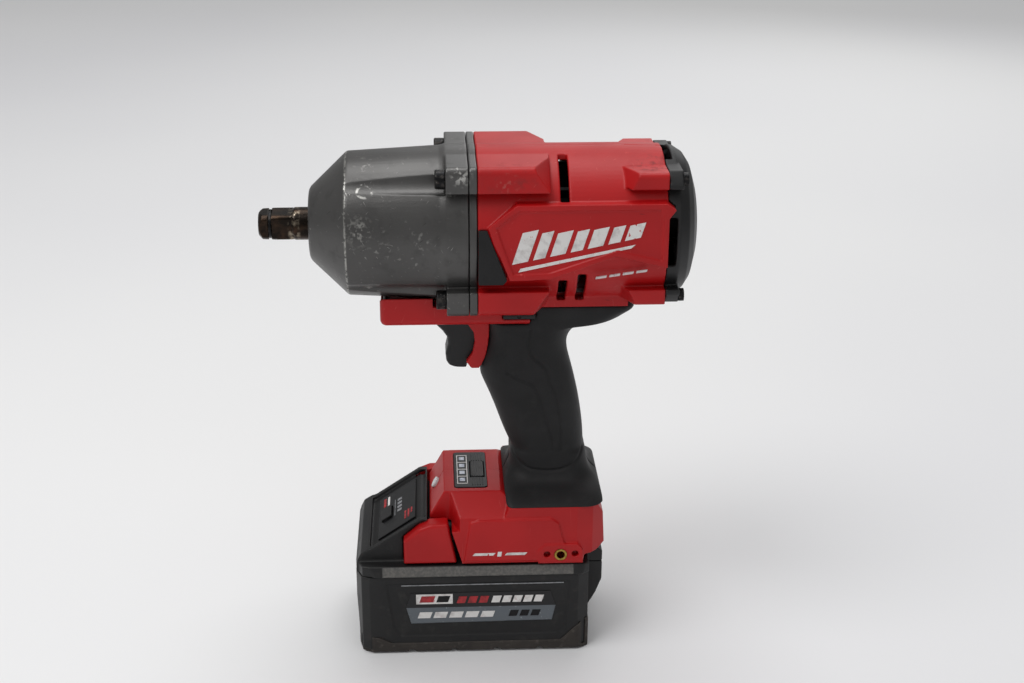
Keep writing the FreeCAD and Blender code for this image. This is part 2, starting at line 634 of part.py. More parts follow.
def rear_cap():
    outer = turned((BARREL_END_Y + 0.2, 0), (BARREL_END_Y + 0.2, 37.2), (94.0, 36.6), (98.6, 33.6),
                   (101.6, 29.0), (104.2, 20.0), (105.8, 10.0), (TAIL_Y, 0))
    inner = turned((85, 0), (85, 34.6), (93.0, 34.0), (96.4, 31.4), (99.2, 27.4), (101.8, 18.4),
                   (103.2, 9.0), (103.6, 0))
    lugs = above_and_below(lug_bar(BARREL_END_Y + 0.2, 95.0, REAR_LUG_HALF, LUG_LOW + 0.4, 32.6, 2.4))
    cap = outer.fuse(lugs.common(rod(80, 100, 43.6))).cut(inner)
    seat = turned((86.6, 8.0), (86.6, 10.6), (103.0, 10.6), (103.0, 6.0), (94.2, 6.0), (94.2, 8.0))
    cap = cap.fuse(seat)
    spoke = block(-1.2, 1.2, 94.5, 101.0, AXIS_Z + 10.0, AXIS_Z + 31.0).common(outer)
    cap = joined([cap] + around(spoke, 4, 45.0))
    cap = cap.cut(both(block(24.0, 45.0, 88.0, 92.4, AXIS_Z - 12.6, AXIS_Z + 11.4)))
    cap = cap.cut(block(-14.0, 14.0, 88.0, 91.6, AXIS_Z + 24.0, AXIS_Z + 45.0))
    panel_tab = [(86.0, 240.0), (87.4, 239.6), (91.6, 236.2), (88.4, 231.0), (86.0, 231.0)]
    cap = cap.cut(both(side_slab(panel_tab, 30.0, 45.0)))
    for x, z in REAR_SCREWS:
        cap = cap.cut(rod(80, 120, 1.6, x, z)).cut(rod(95.0, 120, 3.8, x, z))
    return cap


def rear_cap_screws():
    screws = []
    for x, z in REAR_SCREWS:
        head = rod(95.0, 97.4, 3.1, x, z)
        head = head.cut(rod(96.2, 98.4, 1.4, x, z))
        screws.append(head.fuse(rod(76.0, 95.0, 1.6, x, z)))
    return Part.makeCompound(screws)


# Electrical pieces in the grip and the foot

def terminal_block():
    base = block(-20.0, 20.0, 52.4, 54.6, 56.8, 68.8)
    blades = [block(x - 0.5, x + 0.5, 30.0, 52.6, 59.6, 67.2) for x in (-15.0, -7.5, 7.5, 15.0)]
    return joined([base] + blades)


def control_board():
    return block(-16.0, 16.0, -10.0, 48.0, 73.6, 75.2)


def motor_leads():
    """Three insulated leads from the foot board up the grip to the motor."""
    route = ((38.0, 92.0), (35.0, 120.0), (37.0, 144.0), (38.3, 152.0), (38.3, 164.0), (39.4, 172.0),
             (39.4, 186.0))
    leads = []
    for x in (-4.5, 0.0, 4.5):
        pieces = []
        for (y0, z0), (y1, z1) in zip(route, route[1:]):
            run = Vector(0, y1 - y0, z1 - z0)
            pieces.append(Part.makeCylinder(LEAD_R, run.Length, Vector(x, y0, z0), run))
            pieces.append(Part.makeSphere(LEAD_R, Vector(x, y1, z1)))
        leads.append(joined(pieces))
    return Part.makeCompound(leads)


# Battery pack

def pack_head():
    side = side_slab([(-63.8, 44.0), (-63.4, 50.0), (-61.4, 54.0), (-57.6, 56.4), (-55.0, 57.2),
                      (-31.4, 73.0), (-27.2, 73.0), (-27.2, 44.0)], -30.6, 30.6)
    face = side_slab([(-56.6, 54.6), *LABEL_FACE, (-28.4, 71.2), (-28.4, 80), (-58, 80)], -27.4, 27.4)
    return side.cut(face)


def pack_upper_case():
    plate = front_slab([(-LEDGE_HALF, 44.2), (-37.2, 49.8), (37.2, 49.8), (LEDGE_HALF, 44.2)],
                       PACK_FRONT_Y - 2.4, PACK_REAR_Y)
    plan = plan_slab([(-27.0, -64.0), (27.0, -64.0), (36.0, -60.5), (38.4, -54.0), (41.0, -52.0),
                      (41.0, 48.0), (36.0, PACK_REAR_Y), (-36.0, PACK_REAR_Y), (-41.0, 48.0),
                      (-41.0, -52.0), (-38.4, -54.0), (-36.0, -60.5)], 30, 90)
    plate = plate.common(plan)
    tower = front_slab([(-LIP_HALF + 0.7, 49.0), (-LIP_HALF + 0.7, LIP_TOP_Z + 0.6),
                        (-24.9, LIP_TOP_Z + 0.6), (-24.9, 66.0), (-22.9, 68.2), (22.9, 68.2), (24.9, 66.0),
                        (24.9, LIP_TOP_Z + 0.6), (LIP_HALF - 0.7, LIP_TOP_Z + 0.6), (LIP_HALF - 0.7, 49.0)],
                       -30.0, 51.6)
    tail = side_slab([(50.0, 44.2), (62.4, 44.2), (62.4, 50.0), (58.0, 53.0), (50.0, 53.0)], -25.0, 25.0)
    tail = tail.common(block(-25, 25, 50, 63, 44.2, 52.0))
    case = joined([plate, tower, pack_head(), tail])
    room = front_slab([(-18.0, 44.0), (-18.0, 58.0), (-22.4, 58.0), (-22.4, 65.6),
                       (22.4, 65.6), (22.4, 58.0), (18.0, 58.0), (18.0, 44.0)], -50.0, 49.2)
    room = room.fuse(block(-35.6, 35.6, -58.2, 51.8, 43.0, 47.4))
    room = room.cut(block(-40, 40, -60, -27.0, 47.4, 80))
    head_room = side_slab([(-58.0, 40.0), (-58.0, 50.0), (-32.0, 66.6), (-27.0, 66.6), (-26.0, 60.0),
                           (-26.0, 40.0)], -22.0, 22.0)
    case = case.cut(room).cut(head_room)
    for x in (-15.0, -7.5, 7.5, 15.0):
        case = case.cut(block(x - 1.4, x + 1.4, 26.0, 60.0, 58.8, 70.0))
    for side in (1, -1):
        sweep = side_slab(grown(BUTTON, 0.45), 24.9 if side > 0 else -40.0, 40.0 if side > 0 else -24.9)
        sweep = sweep.common(block(-40, 40, -60, 0, 50.2, 90))
        case = case.cut(sweep)
        case = case.cut(cross_rod(*sorted((side * 17.9, side * 30.0)), 3.2, -24.0, 61.0))
    return case


BUTTON = [(-39.4, 50.8), (-39.4, 63.6), (-31.4, 70.4), (-26.0, 72.6), (-17.2, 72.9), (-12.8, 50.8)]


def grown(outline, margin):
    """A convex outline moved away from its middle by about margin."""
    my = sum(y for y, _ in outline) / len(outline)
    mz = sum(z for _, z in outline) / len(outline)
    points = []
    for y, z in outline:
        reach = math.hypot(y - my, z - mz)
        points.append((my + (y - my) * (reach + margin) / reach, mz + (z - mz) * (reach + margin) / reach))
    return points


def release_button():
    body = side_slab(BUTTON, BUTTON_IN, BUTTON_OUT)
    return softened(body, 1.6, lambda e: e.BoundBox.XMin > BUTTON_OUT - 0.1)


def release_spring():
    return coil(2.4, 0.35, BUTTON_IN - 0.1 - 18.0, 5, Vector(18.0, -24.0, 61.0), Vector(1, 0, 0))


def pack_lower_case():
    plan = [(-27.0, -64.0), (27.0, -64.0), (35.6, -61.2), (PACK_HALF, -57.0), (PACK_HALF, 49.0),
            (34.0, PACK_REAR_Y), (-34.0, PACK_REAR_Y), (-PACK_HALF, 49.0), (-PACK_HALF, -57.0),
            (-35.6, -61.2)]
    body = plan_slab(plan, 2.2, 44.0)
    front_lean = [(-70, 2.0), (-62.4, 2.0), (-64.1, 30.0), (-64.1, 60.0), (-70, 60.0)]
    body = body.cut(side_slab(front_lean, -50, 50))
    tail = side_slab([(50.0, 19.0), (55.6, 19.0), (59.4, 26.0), (62.4, 34.0), (62.4, 44.0), (50.0, 44.0)],
                     -25.0, 25.0)
    body = body.fuse(tail)
    body = body.cut(block(-35.4, 35.4, -58.4, 51.9, 2.9, 60))
    # Recessed field for the side label, with a narrow frame line
    field = side_slab([(-49.0, 40.6), (-45.0, 12.4), (-42.0, 9.6), (38.0, 9.6), (43.0, 14.6), (45.0, 40.6)],
                      PACK_HALF - 0.7, PACK_HALF + 5)
    body = body.cut(both(field))
    return body.cut(pack_bumper_solid())


def pack_bumper_solid():
    plan = [(-26.0, -63.2), (26.0, -63.2), (34.0, -61.4), (PACK_HALF + 0.4, -56.0), (PACK_HALF + 0.4, 49.5),
            (34.4, PACK_REAR_Y + 0.4), (-34.4, PACK_REAR_Y + 0.4), (-PACK_HALF - 0.4, 49.5),
            (-PACK_HALF - 0.4, -56.0), (-34.0, -61.4)]
    tray = plan_slab(plan, 0.0, 18.0)
    above = [(-80, 12.2), (-52.5, 9.2), (-46.4, 6.0), (40.2, 6.0), (47.8, 13.6), (52.4, 16.9), (80, 16.9),
             (80, 40), (-80, 40)]
    tray = tray.cut(side_slab(above, -60, 60))
    tray = tray.cut(block(-36.6, 36.6, -59.8, 53.0, 2.2, 40))
    chamfer = both(plan_slab([(30, -70), (45, -70), (45, 70), (30, 70)], -1, 3).common(
        front_slab([(36.0, -0.01), (45.0, -0.01), (45.0, 4.0)], -70, 70)))
    return tray.cut(chamfer)


def pack_bumper():
    tray = pack_bumper_solid()
    for i in range(4):
        y = CELL_MIDDLE_Y + CELL_PITCH * (i - 1.5)
        notch = side_slab([(y - 2.4, -1.0), (y - 1.3, 1.9), (y + 1.3, 1.9), (y + 2.4, -1.0)], 34.0, 45.0)
        tray = tray.cut(both(notch))
    return tray


def pack_cells():
    cells = []
    for z in CELL_LAYERS_Z:
        for i in range(5):
            y = CELL_MIDDLE_Y + CELL_PITCH * (i - 2)
            cells.append(cross_rod(-CELL_LENGTH / 2, CELL_LENGTH / 2, CELL_R, y, z))
    return Part.makeCompound(cells)


def cell_holder():
    frame = block(-20.0, 20.0, -58.2, 51.6, 5.0, 43.6)
    frame = frame.cut(block(-17.0, 17.0, -70, 60, -10, 60))
    for z in CELL_LAYERS_Z:
        for i in range(5):
            frame = frame.cut(cross_rod(-40, 40, CELL_R, CELL_MIDDLE_Y + CELL_PITCH * (i - 2), z))
    return frame


def cell_straps():
    """Nickel straps across the cell ends, two cells high."""
    straps = []
    for side in (1, -1):
        for i in range(5):
            y = CELL_MIDDLE_Y + CELL_PITCH * (i - 2)
            x = side * (CELL_LENGTH / 2 + 0.1)
            straps.append(block(x - 0.1, x + 0.1, y - 4.0, y + 4.0, 9.0, 40.0))
    return Part.makeCompound(straps)


def pack_board():
    return block(-17.0, 17.0, -22.0, 46.0, 48.2, 49.8)


def pack_contacts():
    """Spring clips that take the blades of the tool's terminal block."""
    clips = []
    for x in (-15.0, -7.5, 7.5, 15.0):
        base = block(x - 1.3, x + 1.3, 31.0, 43.0, 50.0, 58.0)
        leaves = [block(x + s * 1.0 - 0.25, x + s * 1.0 + 0.25, 31.0, 43.0, 57.8, 65.0) for s in (-1, 1)]
        clips.append(joined([base] + leaves))
    return Part.makeCompound(clips)


def on_slope(shape):
    """Tilt a flat shape made about the origin onto the middle of the pack's label face."""
    (foot_y, foot_z), (head_y, head_z) = LABEL_FACE
    rise = math.degrees(math.atan2(head_z - foot_z, head_y - foot_y))
    shape.rotate(Vector(0, 0, 0), Vector(1, 0, 0), rise)
    shape.translate(Vector(0, *LABEL_MIDDLE))
    return shape


def gauge_panel():
    plate = block(-22.0, 22.0, -11.4, 11.8, 0.0, 0.9)
    plate = plate.cut(block(-6.3, 6.3, -9.3, -2.7, -1.0, 2.0))
    return on_slope(plate)


def gauge_button():
    return on_slope(block(-6.0, 6.0, -9.0, -3.0, 0.9, 2.0))


def side_label():
    outline = [(-38.8, 26.4), (-36.4, 17.0), (35.8, 17.6), (37.7, 26.2), (35.1, 34.6), (-36.4, 34.6)]
    return side_slab(outline, PACK_HALF - 0.7, PACK_HALF - 0.3)


PACK_SCREWS = ((-61.2, 6.0, 46.6), (57.2, 24.6, 49.4))     # y, foot of the head and tip


def pack_screws():
    screws = []
    for y, low, high in PACK_SCREWS:
        for x in (-20.0, 20.0):
            head = Part.makeCylinder(1.7, 2.0, Vector(x, y, low))
            screws.append(head.fuse(Part.makeCylinder(1.1, high - low - 2.0, Vector(x, y, low + 2.0))))
    return Part.makeCompound(screws)


def pack_screw_wells():
    wells = []
    for y, low, high in PACK_SCREWS:
        for x in (-20.0, 20.0):
            well = Part.makeCylinder(1.75, low + 3.0, Vector(x, y, -1.0))
            wells.append(well.fuse(Part.makeCylinder(1.15, high - low - 1.9, Vector(x, y, low + 2.0))))
    return joined(wells)


def build():
    save("hammer_case", hammer_case())
    save("case_screws", case_screws())
    save("nose_bushing", nose_bushing())
    save("anvil", anvil())
    save("friction_ring", friction_ring())
    save("hammer", hammer())
    save("cam_balls", cam_balls())
    save("camshaft_carrier", camshaft_carrier())
    save("planet_pins", planet_pins())
    save("hammer_spring", hammer_spring())
    for number in (1, 2, 3):
        save("planet_gear_%d" % number, planet_gear(120.0 * (number - 1)))
    save("ring_gear", ring_gear())
    save("gear_case", gear_case())
    save("rotor_shaft", rotor_shaft())
    save("rotor_core", rotor_core())
    save("cooling_fan", cooling_fan())
    save("stator_core", stator_core())
    save("stator_windings", stator_windings().cut(stator_core()))
    save("motor_board", motor_board())
    save("front_bearing", ball_bearing(18.2, 25.8, 11.0))
    save("rear_bearing", ball_bearing(86.8, 94.0, 8.0))

    outside = housing_outside()
    rubber = grip_rubber(outside)
    patch = side_slab(PATCH, 20.0, 38.7).cut(rod(-5, 20, 36.2))
    patches = both(patch)
    screws = shell_screws()
    panel_room = pillar(83.2, 95, -13.5, 3.5, 20.6, 1.8)
    y, z = INSERT_PLACE
    shell = outside.cut(housing_inside()).cut(vent_cuts()).cut(patches).cut(screw_wells())
    shell = shell.cut(panel_room).cut(block(-9.5, 9.5, -5.4, 2.4, 81, 84)).cut(lamp_lens())
    shell = shell.cut(both(cross_rod(32.6, 45, 3.1, y, z)))
    for dy, dz in DIMPLES:
        shell = shell.cut(both(cross_rod(35.0, 45, 1.7, dy, dz)))
    for x, z in CASE_SCREWS:
        shell = shell.cut(rod(-5, 20.2, 2.6, x, z))
    for x, z in REAR_SCREWS:
        shell = shell.cut(rod(75.8, 100, 1.7, x, z))
    save_halves("housing", shell)
    save_halves("grip_rubber", rubber.cut(housing_inside()).cut(screw_wells()))
    save_halves("side_patch", patches)
    save("housing_screws", Part.makeCompound(screws))
    save("trigger", trigger())
    save("trigger_spring", coil(2.3, 0.4, 6.9, 4, Vector(0, 2.2, 162.0), AXIS))
    save("switch_body", switch_body())
    save("direction_shuttle", direction_shuttle())
    save("mode_panel", mode_panel())
    save("mode_button", mode_button())
    save("lamp_lens", lamp_lens())
    insert = accessory_insert()
    save("accessory_inserts", Part.makeCompound([insert, mirrored(insert)]))
    save("rear_cap", rear_cap())
    save("rear_cap_screws", rear_cap_screws())
    save("terminal_block", terminal_block())
    save("control_board", control_board())
    save("motor_leads", motor_leads())

    save("pack_upper_case", pack_upper_case().cut(pack_screw_wells()))
    save("pack_lower_case", pack_lower_case().cut(pack_screw_wells()))
    save("pack_bumper", pack_bumper().cut(pack_screw_wells()))
    save("pack_cells", pack_cells())
    save("cell_holder", cell_holder())
    save("cell_straps", cell_straps())
    save("pack_board", pack_board())
    save("pack_contacts", pack_contacts())
    save("pack_screws", pack_screws())
    save("gauge_panel", gauge_panel())
    save("gauge_button", gauge_button())
    label = side_label()
    save("side_labels", Part.makeCompound([label, mirrored(label)]))
    button = release_button()
    save("release_button_left", button)
    save("release_button_right", mirrored(button))
    spring = release_spring()
    save("release_spring_left", spring)
    save("release_spring_right", mirrored(spring))


os.makedirs(OUT, exist_ok=True)
build()
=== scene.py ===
import math
from types import SimpleNamespace

import bmesh
import bpy
import numpy as np
from mathutils import Matrix, Vector


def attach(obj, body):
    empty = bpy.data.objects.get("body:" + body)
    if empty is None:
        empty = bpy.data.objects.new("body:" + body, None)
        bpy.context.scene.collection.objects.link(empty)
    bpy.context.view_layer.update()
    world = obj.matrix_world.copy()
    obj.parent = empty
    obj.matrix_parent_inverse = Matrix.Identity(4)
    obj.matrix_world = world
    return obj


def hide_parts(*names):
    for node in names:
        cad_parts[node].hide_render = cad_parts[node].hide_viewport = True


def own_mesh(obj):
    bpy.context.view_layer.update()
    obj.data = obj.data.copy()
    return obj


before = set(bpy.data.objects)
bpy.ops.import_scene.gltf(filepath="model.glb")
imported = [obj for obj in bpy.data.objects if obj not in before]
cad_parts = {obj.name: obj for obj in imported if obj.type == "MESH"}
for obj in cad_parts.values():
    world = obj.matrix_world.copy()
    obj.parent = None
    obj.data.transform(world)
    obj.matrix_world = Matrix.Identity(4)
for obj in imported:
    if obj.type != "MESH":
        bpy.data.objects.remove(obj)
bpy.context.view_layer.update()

# ---------------------------------------------------------------- Camera, floor and studio light
# The wrench stands on its battery pack on a plain pale sheet, in flat, bright studio light,
# seen from its left-hand side and a little from above.

MM = 0.001
TILT = math.radians(21.5)
YAW = math.radians(3.0)
ROLL = math.radians(0.25)
level = Vector((-math.cos(YAW), math.sin(YAW), 0.0))
ahead = level * math.cos(TILT) - Vector((0.0, 0.0, math.sin(TILT)))
right = Vector((math.sin(YAW), math.cos(YAW), 0.0))
above = level * math.sin(TILT) + Vector((0.0, 0.0, math.cos(TILT)))
across = right * math.cos(ROLL) + above * math.sin(ROLL)
upward = above * math.cos(ROLL) - right * math.sin(ROLL)
camera = bpy.data.objects.new("camera", bpy.data.cameras.new("camera"))
camera.data.lens = 56.25
camera.data.sensor_width = 36.0
camera.matrix_world = (Matrix.Translation((0.7485, -0.0226, 0.4519))
                       @ Matrix((across, upward, -ahead)).transposed().to_4x4())
bpy.context.scene.collection.objects.link(camera)
bpy.context.scene.camera = camera
bpy.context.scene.view_settings.view_transform = "Standard"


def linear(code):
    """An sRGB hex colour as linear light."""
    parts = [int(code[i:i + 2], 16) / 255 for i in (0, 2, 4)]
    return [p / 12.92 if p <= 0.04045 else ((p + 0.055) / 1.055) ** 2.4 for p in parts] + [1.0]


def add(tree, kind, settings=(), links=()):
    """Add a node, set its properties and sockets, and link its inputs."""
    node = tree.nodes.new("ShaderNode" + kind)
    for key, value in dict(settings).items():
        if isinstance(key, str) and hasattr(node, key):
            setattr(node, key, value)
        else:
            node.inputs[key].default_value = value
    for key, output in dict(links).items():
        tree.links.new(output, node.inputs[key])
    return node


def begin(name, colour, rough, metal=0.0, sockets=()):
    """Start a finish with its plain colour, roughness and metalness."""
    material = bpy.data.materials.new(name)
    material.use_nodes = True
    tree = material.node_tree
    shader = tree.nodes["Principled BSDF"]
    shader.inputs["Base Color"].default_value = linear(colour)
    shader.inputs["Roughness"].default_value = rough
    shader.inputs["Metallic"].default_value = metal
    for socket, value in dict(sockets).items():
        shader.inputs[socket].default_value = value
    where = add(tree, "TexCoord").outputs["Object"]
    return SimpleNamespace(material=material, tree=tree, shader=shader, where=where)


def cloud(f, size, low, high, detail=3.0, seed=0.0, where=None):
    """A mask of soft patches about size millimetres across, none below low and full above high."""
    noise = add(f.tree, "TexNoise", {"noise_dimensions": "4D", "W": seed, "Scale": 1 / (size * MM),
                                     "Detail": detail}, {"Vector": where or f.where})
    mask = add(f.tree, "MapRange", {"From Min": low, "From Max": high}, {"Value": noise.outputs[0]})
    return mask.outputs[0]


def lay(f, mask, colour=None, rough=None, metal=None):
    """Lay another colour, roughness or metalness over the finish where the mask is white."""
    for socket, value in (("Base Color", colour), ("Roughness", rough), ("Metallic", metal)):
        if value is None:
            continue
        target = f.shader.inputs[socket]
        tinted = socket == "Base Color"
        below, over, out = (6, 7, 2) if tinted else (2, 3, 0)
        mix = add(f.tree, "Mix", {"data_type": "RGBA" if tinted else "FLOAT",
                                  over: linear(value) if tinted else value}, {0: mask})
        if target.links:
            f.tree.links.new(target.links[0].from_socket, mix.inputs[below])
        else:
            mix.inputs[below].default_value = target.default_value
        f.tree.links.new(mix.outputs[out], target)


def relief(f, height, depth):
    """Press a height map into the surface, depth in millimetres."""
    bump = add(f.tree, "Bump", {"Distance": depth * MM, "Strength": 1.0}, {"Height": height})
    if f.shader.inputs["Normal"].links:
        f.tree.links.new(f.shader.inputs["Normal"].links[0].from_socket, bump.inputs["Normal"])
    f.tree.links.new(bump.outputs[0], f.shader.inputs["Normal"])


def mesh_object(name, bm, smooth=True):
    """A linked object from a bmesh that is drawn in millimetres."""
    mesh = bpy.data.meshes.new(name)
    bmesh.ops.scale(bm, vec=(MM, MM, MM), verts=bm.verts)
    bm.to_mesh(mesh)
    bm.free()
    if smooth:
        mesh.shade_smooth()
    obj = bpy.data.objects.new(name, mesh)
    bpy.context.scene.collection.objects.link(obj)
    return obj


def put(obj, material, body, slot, *nodes):
    """Paint a piece, hang it on the body that it rides on, and hide the nodes that it stands for; the slot is
    not used.
    """
    obj.data.materials.clear()
    obj.data.materials.append(material)
    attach(obj, body)
    if nodes:
        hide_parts(*nodes)
    return obj


FLOOR_HALF = 6000.0
sheet = begin("pale_backdrop_paper", "e6e6e6", 0.9, sockets={"Specular IOR Level": 0.2})
lay(sheet, cloud(sheet, 900.0, 0.35, 0.7, 2.0), colour="dfdfe1")
relief(sheet, cloud(sheet, 2.0, 0.0, 1.0, 2.0), 0.05)
bm = bmesh.new()
bmesh.ops.create_grid(bm, x_segments=12, y_segments=12, size=FLOOR_HALF)
floor = mesh_object("floor", bm)
floor.data.materials.append(sheet.material)

# Name, place, size and power of each soft box, all aimed at the middle of the tool
LAMPS = (("key_light", (0.45, -0.65, 1.45), 0.9, 10.5),
         ("top_light", (-0.7, 0.1, 3.0), 1.9, 37.0),
         ("fill_light", (1.5, 0.7, 0.9), 1.3, 2.6),
         ("back_light", (-1.4, 0.5, 0.9), 1.2, 3.4))
for name, place, size, power in LAMPS:
    lamp = bpy.data.lights.new(name, "AREA")
    lamp.shape = "DISK"
    lamp.size = size
    lamp.energy = power
    holder = bpy.data.objects.new(name, lamp)
    holder.location = place
    holder.rotation_euler = (Vector((0.0, 0.0, 0.14)) - Vector(place)).to_track_quat("-Z", "Y").to_euler()
    bpy.context.scene.collection.objects.link(holder)
world = bpy.data.worlds.new("studio")
world.use_nodes = True
world.node_tree.nodes["Background"].inputs["Color"].default_value = linear("f4f4f4")
world.node_tree.nodes["Background"].inputs["Strength"].default_value = 0.36
bpy.context.scene.world = world


# ---------------------------------------------------------------- Hammer case and gear case
# Two aluminium die castings, blasted and clear-coated in grey, that four screws clamp to the
# motor housing through box-shaped lugs. Work has scuffed the edge of the cone down to metal.

def applied(obj):
    """Make the piece's modifiers real."""
    bpy.context.view_layer.update()
    mesh = bpy.data.meshes.new_from_object(obj.evaluated_get(bpy.context.evaluated_depsgraph_get()))
    obj.modifiers.clear()
    obj.data = mesh


SPINDLE_Z = 220.0          # height of the spindle axis, in millimetres
MOST_TRIANGLES = 190000


def moulded(name, node, voxel, passes, most=MOST_TRIANGLES):
    """A copy of a node with its edges rounded as a mould leaves them, of at most that many triangles."""
    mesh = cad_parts[node].data.copy()
    bm = bmesh.new()
    bm.from_mesh(mesh)
    bmesh.ops.remove_doubles(bm, verts=bm.verts, dist=1e-6)
    bm.to_mesh(mesh)
    bm.free()
    obj = bpy.data.objects.new(name, mesh)
    bpy.context.scene.collection.objects.link(obj)
    grid = obj.modifiers.new("grid", "REMESH")
    grid.mode = "VOXEL"
    grid.voxel_size = voxel * MM
    if passes:
        soft = obj.modifiers.new("soft", "SMOOTH")
        soft.factor = 0.5
        soft.iterations = passes
    applied(obj)
    faces = 2 * len(obj.data.polygons)
    if faces > most:
        thin = obj.modifiers.new("thin", "DECIMATE")
        thin.ratio = most / faces
        applied(obj)
    obj.data.shade_smooth()
    return obj


def unrolled(f, radius):
    """Coordinates laid flat round the spindle: distance round the barrel, then along it."""
    split = add(f.tree, "SeparateXYZ", {}, {0: f.where})
    height = add(f.tree, "Math", {"operation": "SUBTRACT", 1: SPINDLE_Z * MM}, {0: split.outputs[2]})
    angle = add(f.tree, "Math", {"operation": "ARCTAN2"}, {0: split.outputs[0], 1: height.outputs[0]})
    arc = add(f.tree, "Math", {"operation": "MULTIPLY", 1: radius * MM}, {0: angle.outputs[0]})
    return add(f.tree, "CombineXYZ", {}, {0: arc.outputs[0], 1: split.outputs[1]}).outputs[0]


def scratches(f, plane, long, wide, turn, keep, seed):
    """Fine straight scratches of that length and width, all turned one way and broken into groups."""
    flow = add(f.tree, "Mapping", {"vector_type": "TEXTURE", "Location": (seed * MM, 0.0, 0.0),
                                   "Rotation": (0.0, 0.0, math.radians(turn)),
                                   "Scale": (long * MM, wide * MM, wide * MM)}, {"Vector": plane})
    noise = add(f.tree, "TexNoise", {"Scale": 1.0, "Detail": 1.0}, {"Vector": flow.outputs[0]})
    line = add(f.tree, "MapRange", {"From Min": keep, "From Max": keep + 0.03}, {"Value": noise.outputs[0]})
    group = cloud(f, 14.0, 0.47, 0.62, 2.0, seed)
    return add(f.tree, "Math", {"operation": "MULTIPLY"}, {0: line.outputs[0], 1: group}).outputs[0]


def near(f, point, reach, fade):
    """A mask that is full within reach of a point and gone fade further out, in millimetres."""
    gap = add(f.tree, "VectorMath", {"operation": "DISTANCE", 1: [c * MM for c in point]}, {0: f.where})
    return add(f.tree, "MapRange", {"From Min": (reach + fade) * MM, "From Max": reach * MM},
               {"Value": gap.outputs["Value"]}).outputs[0]


def times(f, *masks):
    """Masks multiplied together."""
    result = masks[0]
    for mask in masks[1:]:
        result = add(f.tree, "Math", {"operation": "MULTIPLY"}, {0: result, 1: mask}).outputs[0]
    return result


def edges(f, low, high):
    """A mask of the convex edges, which rub first."""
    sharp = add(f.tree, "NewGeometry").outputs["Pointiness"]
    return add(f.tree, "MapRange", {"From Min": low, "From Max": high}, {"Value": sharp}).outputs[0]


def band(f, axis, low, high, fade):
    """A mask that is full from low to high along an axis (0, 1, 2), in millimetres."""
    spread = add(f.tree, "SeparateXYZ", {}, {0: f.where}).outputs[axis]
    middle = add(f.tree, "Math", {"operation": "SUBTRACT", 1: (low + high) / 2 * MM}, {0: spread})
    gap = add(f.tree, "Math", {"operation": "ABSOLUTE"}, {0: middle.outputs[0]})
    half = (high - low) / 2
    return add(f.tree, "MapRange", {"From Min": (half + fade) * MM, "From Max": half * MM},
               {"Value": gap.outputs[0]}).outputs[0]


# Blasted cast aluminium under grey clear coat: a satin grey with broad soft highlights.
cast = begin("clear_coated_cast_aluminium", "4c4b4a", 0.38, 0.6)
flat = unrolled(cast, 38.0)
lay(cast, cloud(cast, 30.0, 0.3, 0.75, 3.0), colour="555453", rough=0.36)
lay(cast, cloud(cast, 7.0, 0.56, 0.8, 5.0, 3.0), colour="434241", rough=0.46)
# Handling marks: grey rubs behind the cone edge, fine bright scratches and a few dark gouges
rub = times(cast, cloud(cast, 2.6, 0.58, 0.68, 7.0, 9.0), cloud(cast, 12.0, 0.52, 0.66, 2.0, 2.0))
lay(cast, times(cast, cloud(cast, 2.2, 0.52, 0.62, 6.0, 9.0), near(cast, (35.4, -57.0, 226.5), 1.5, 7.0)),
    colour="92918d", rough=0.46)
lay(cast, times(cast, rub, band(cast, 1, -58.0, -8.0, 4.0)), colour="848380", rough=0.46)
for turn, keep, seed in ((25.0, 0.73, 1.0), (-38.0, 0.74, 5.0), (70.0, 0.75, 11.0)):
    lay(cast, scratches(cast, flat, 5.0, 0.45, turn, keep, seed), colour="a09f9b", rough=0.4)
lay(cast, scratches(cast, flat, 8.0, 0.7, 128.0, 0.75, 23.0), colour="343332", rough=0.6)
scuff = add(cast.tree, "Math", {"operation": "SUBTRACT"}, {
    0: near(cast, (26.8, -54.0, 244.0), 4.0, 0.5), 1: near(cast, (26.8, -54.0, 244.0), 3.0, 0.5)}).outputs[0]
lay(cast, times(cast, scuff, cloud(cast, 4.0, 0.44, 0.52, 2.0, 5.0)), colour="a9a8a4", rough=0.38)
# Bare metal along the worn edge of the cone and on edges, and on the near ridge of the upper lug bright bare
# metal that is partly a painted highlight of the ridge
bare = cloud(cast, 1.8, 0.42, 0.55, 5.0, 4.0)
lay(cast, times(cast, band(cast, 1, -63.8, -63.2, 0.3), bare), colour="9b9a96", rough=0.38, metal=0.8)
lay(cast, times(cast, edges(cast, 0.555, 0.62), bare), colour="92918d", rough=0.38, metal=0.8)
# Painted highlight together with bare-metal wear: the near ridge of the upper lug made bright and metallic
lay(cast, times(cast, near(cast, (37.0, -9.0, 253.0), 1.5, 4.5), cloud(cast, 2.0, 0.5, 0.58, 5.0, 6.0)),
    colour="b4b3af", rough=0.34, metal=0.9)
# Casting grain of about 0.4 mm, drawn at 0.8 mm so that it shows
relief(cast, cloud(cast, 0.8, 0.2, 0.8, 3.0, 2.0), 0.035)
put(moulded("hammer_case_casting", "hammer_case", 0.5, 3), cast.material, "tool", "cast_case", "hammer_case")
put(moulded("gear_case_casting", "gear_case", 0.5, 2), cast.material, "tool", "cast_case", "gear_case")


# ---------------------------------------------------------------- Case screws and small steel screws
# Socket-head screws in black oxide steel, driven from the front through the lugs, and the small
# screws that clamp the shells, the cap and the pack.

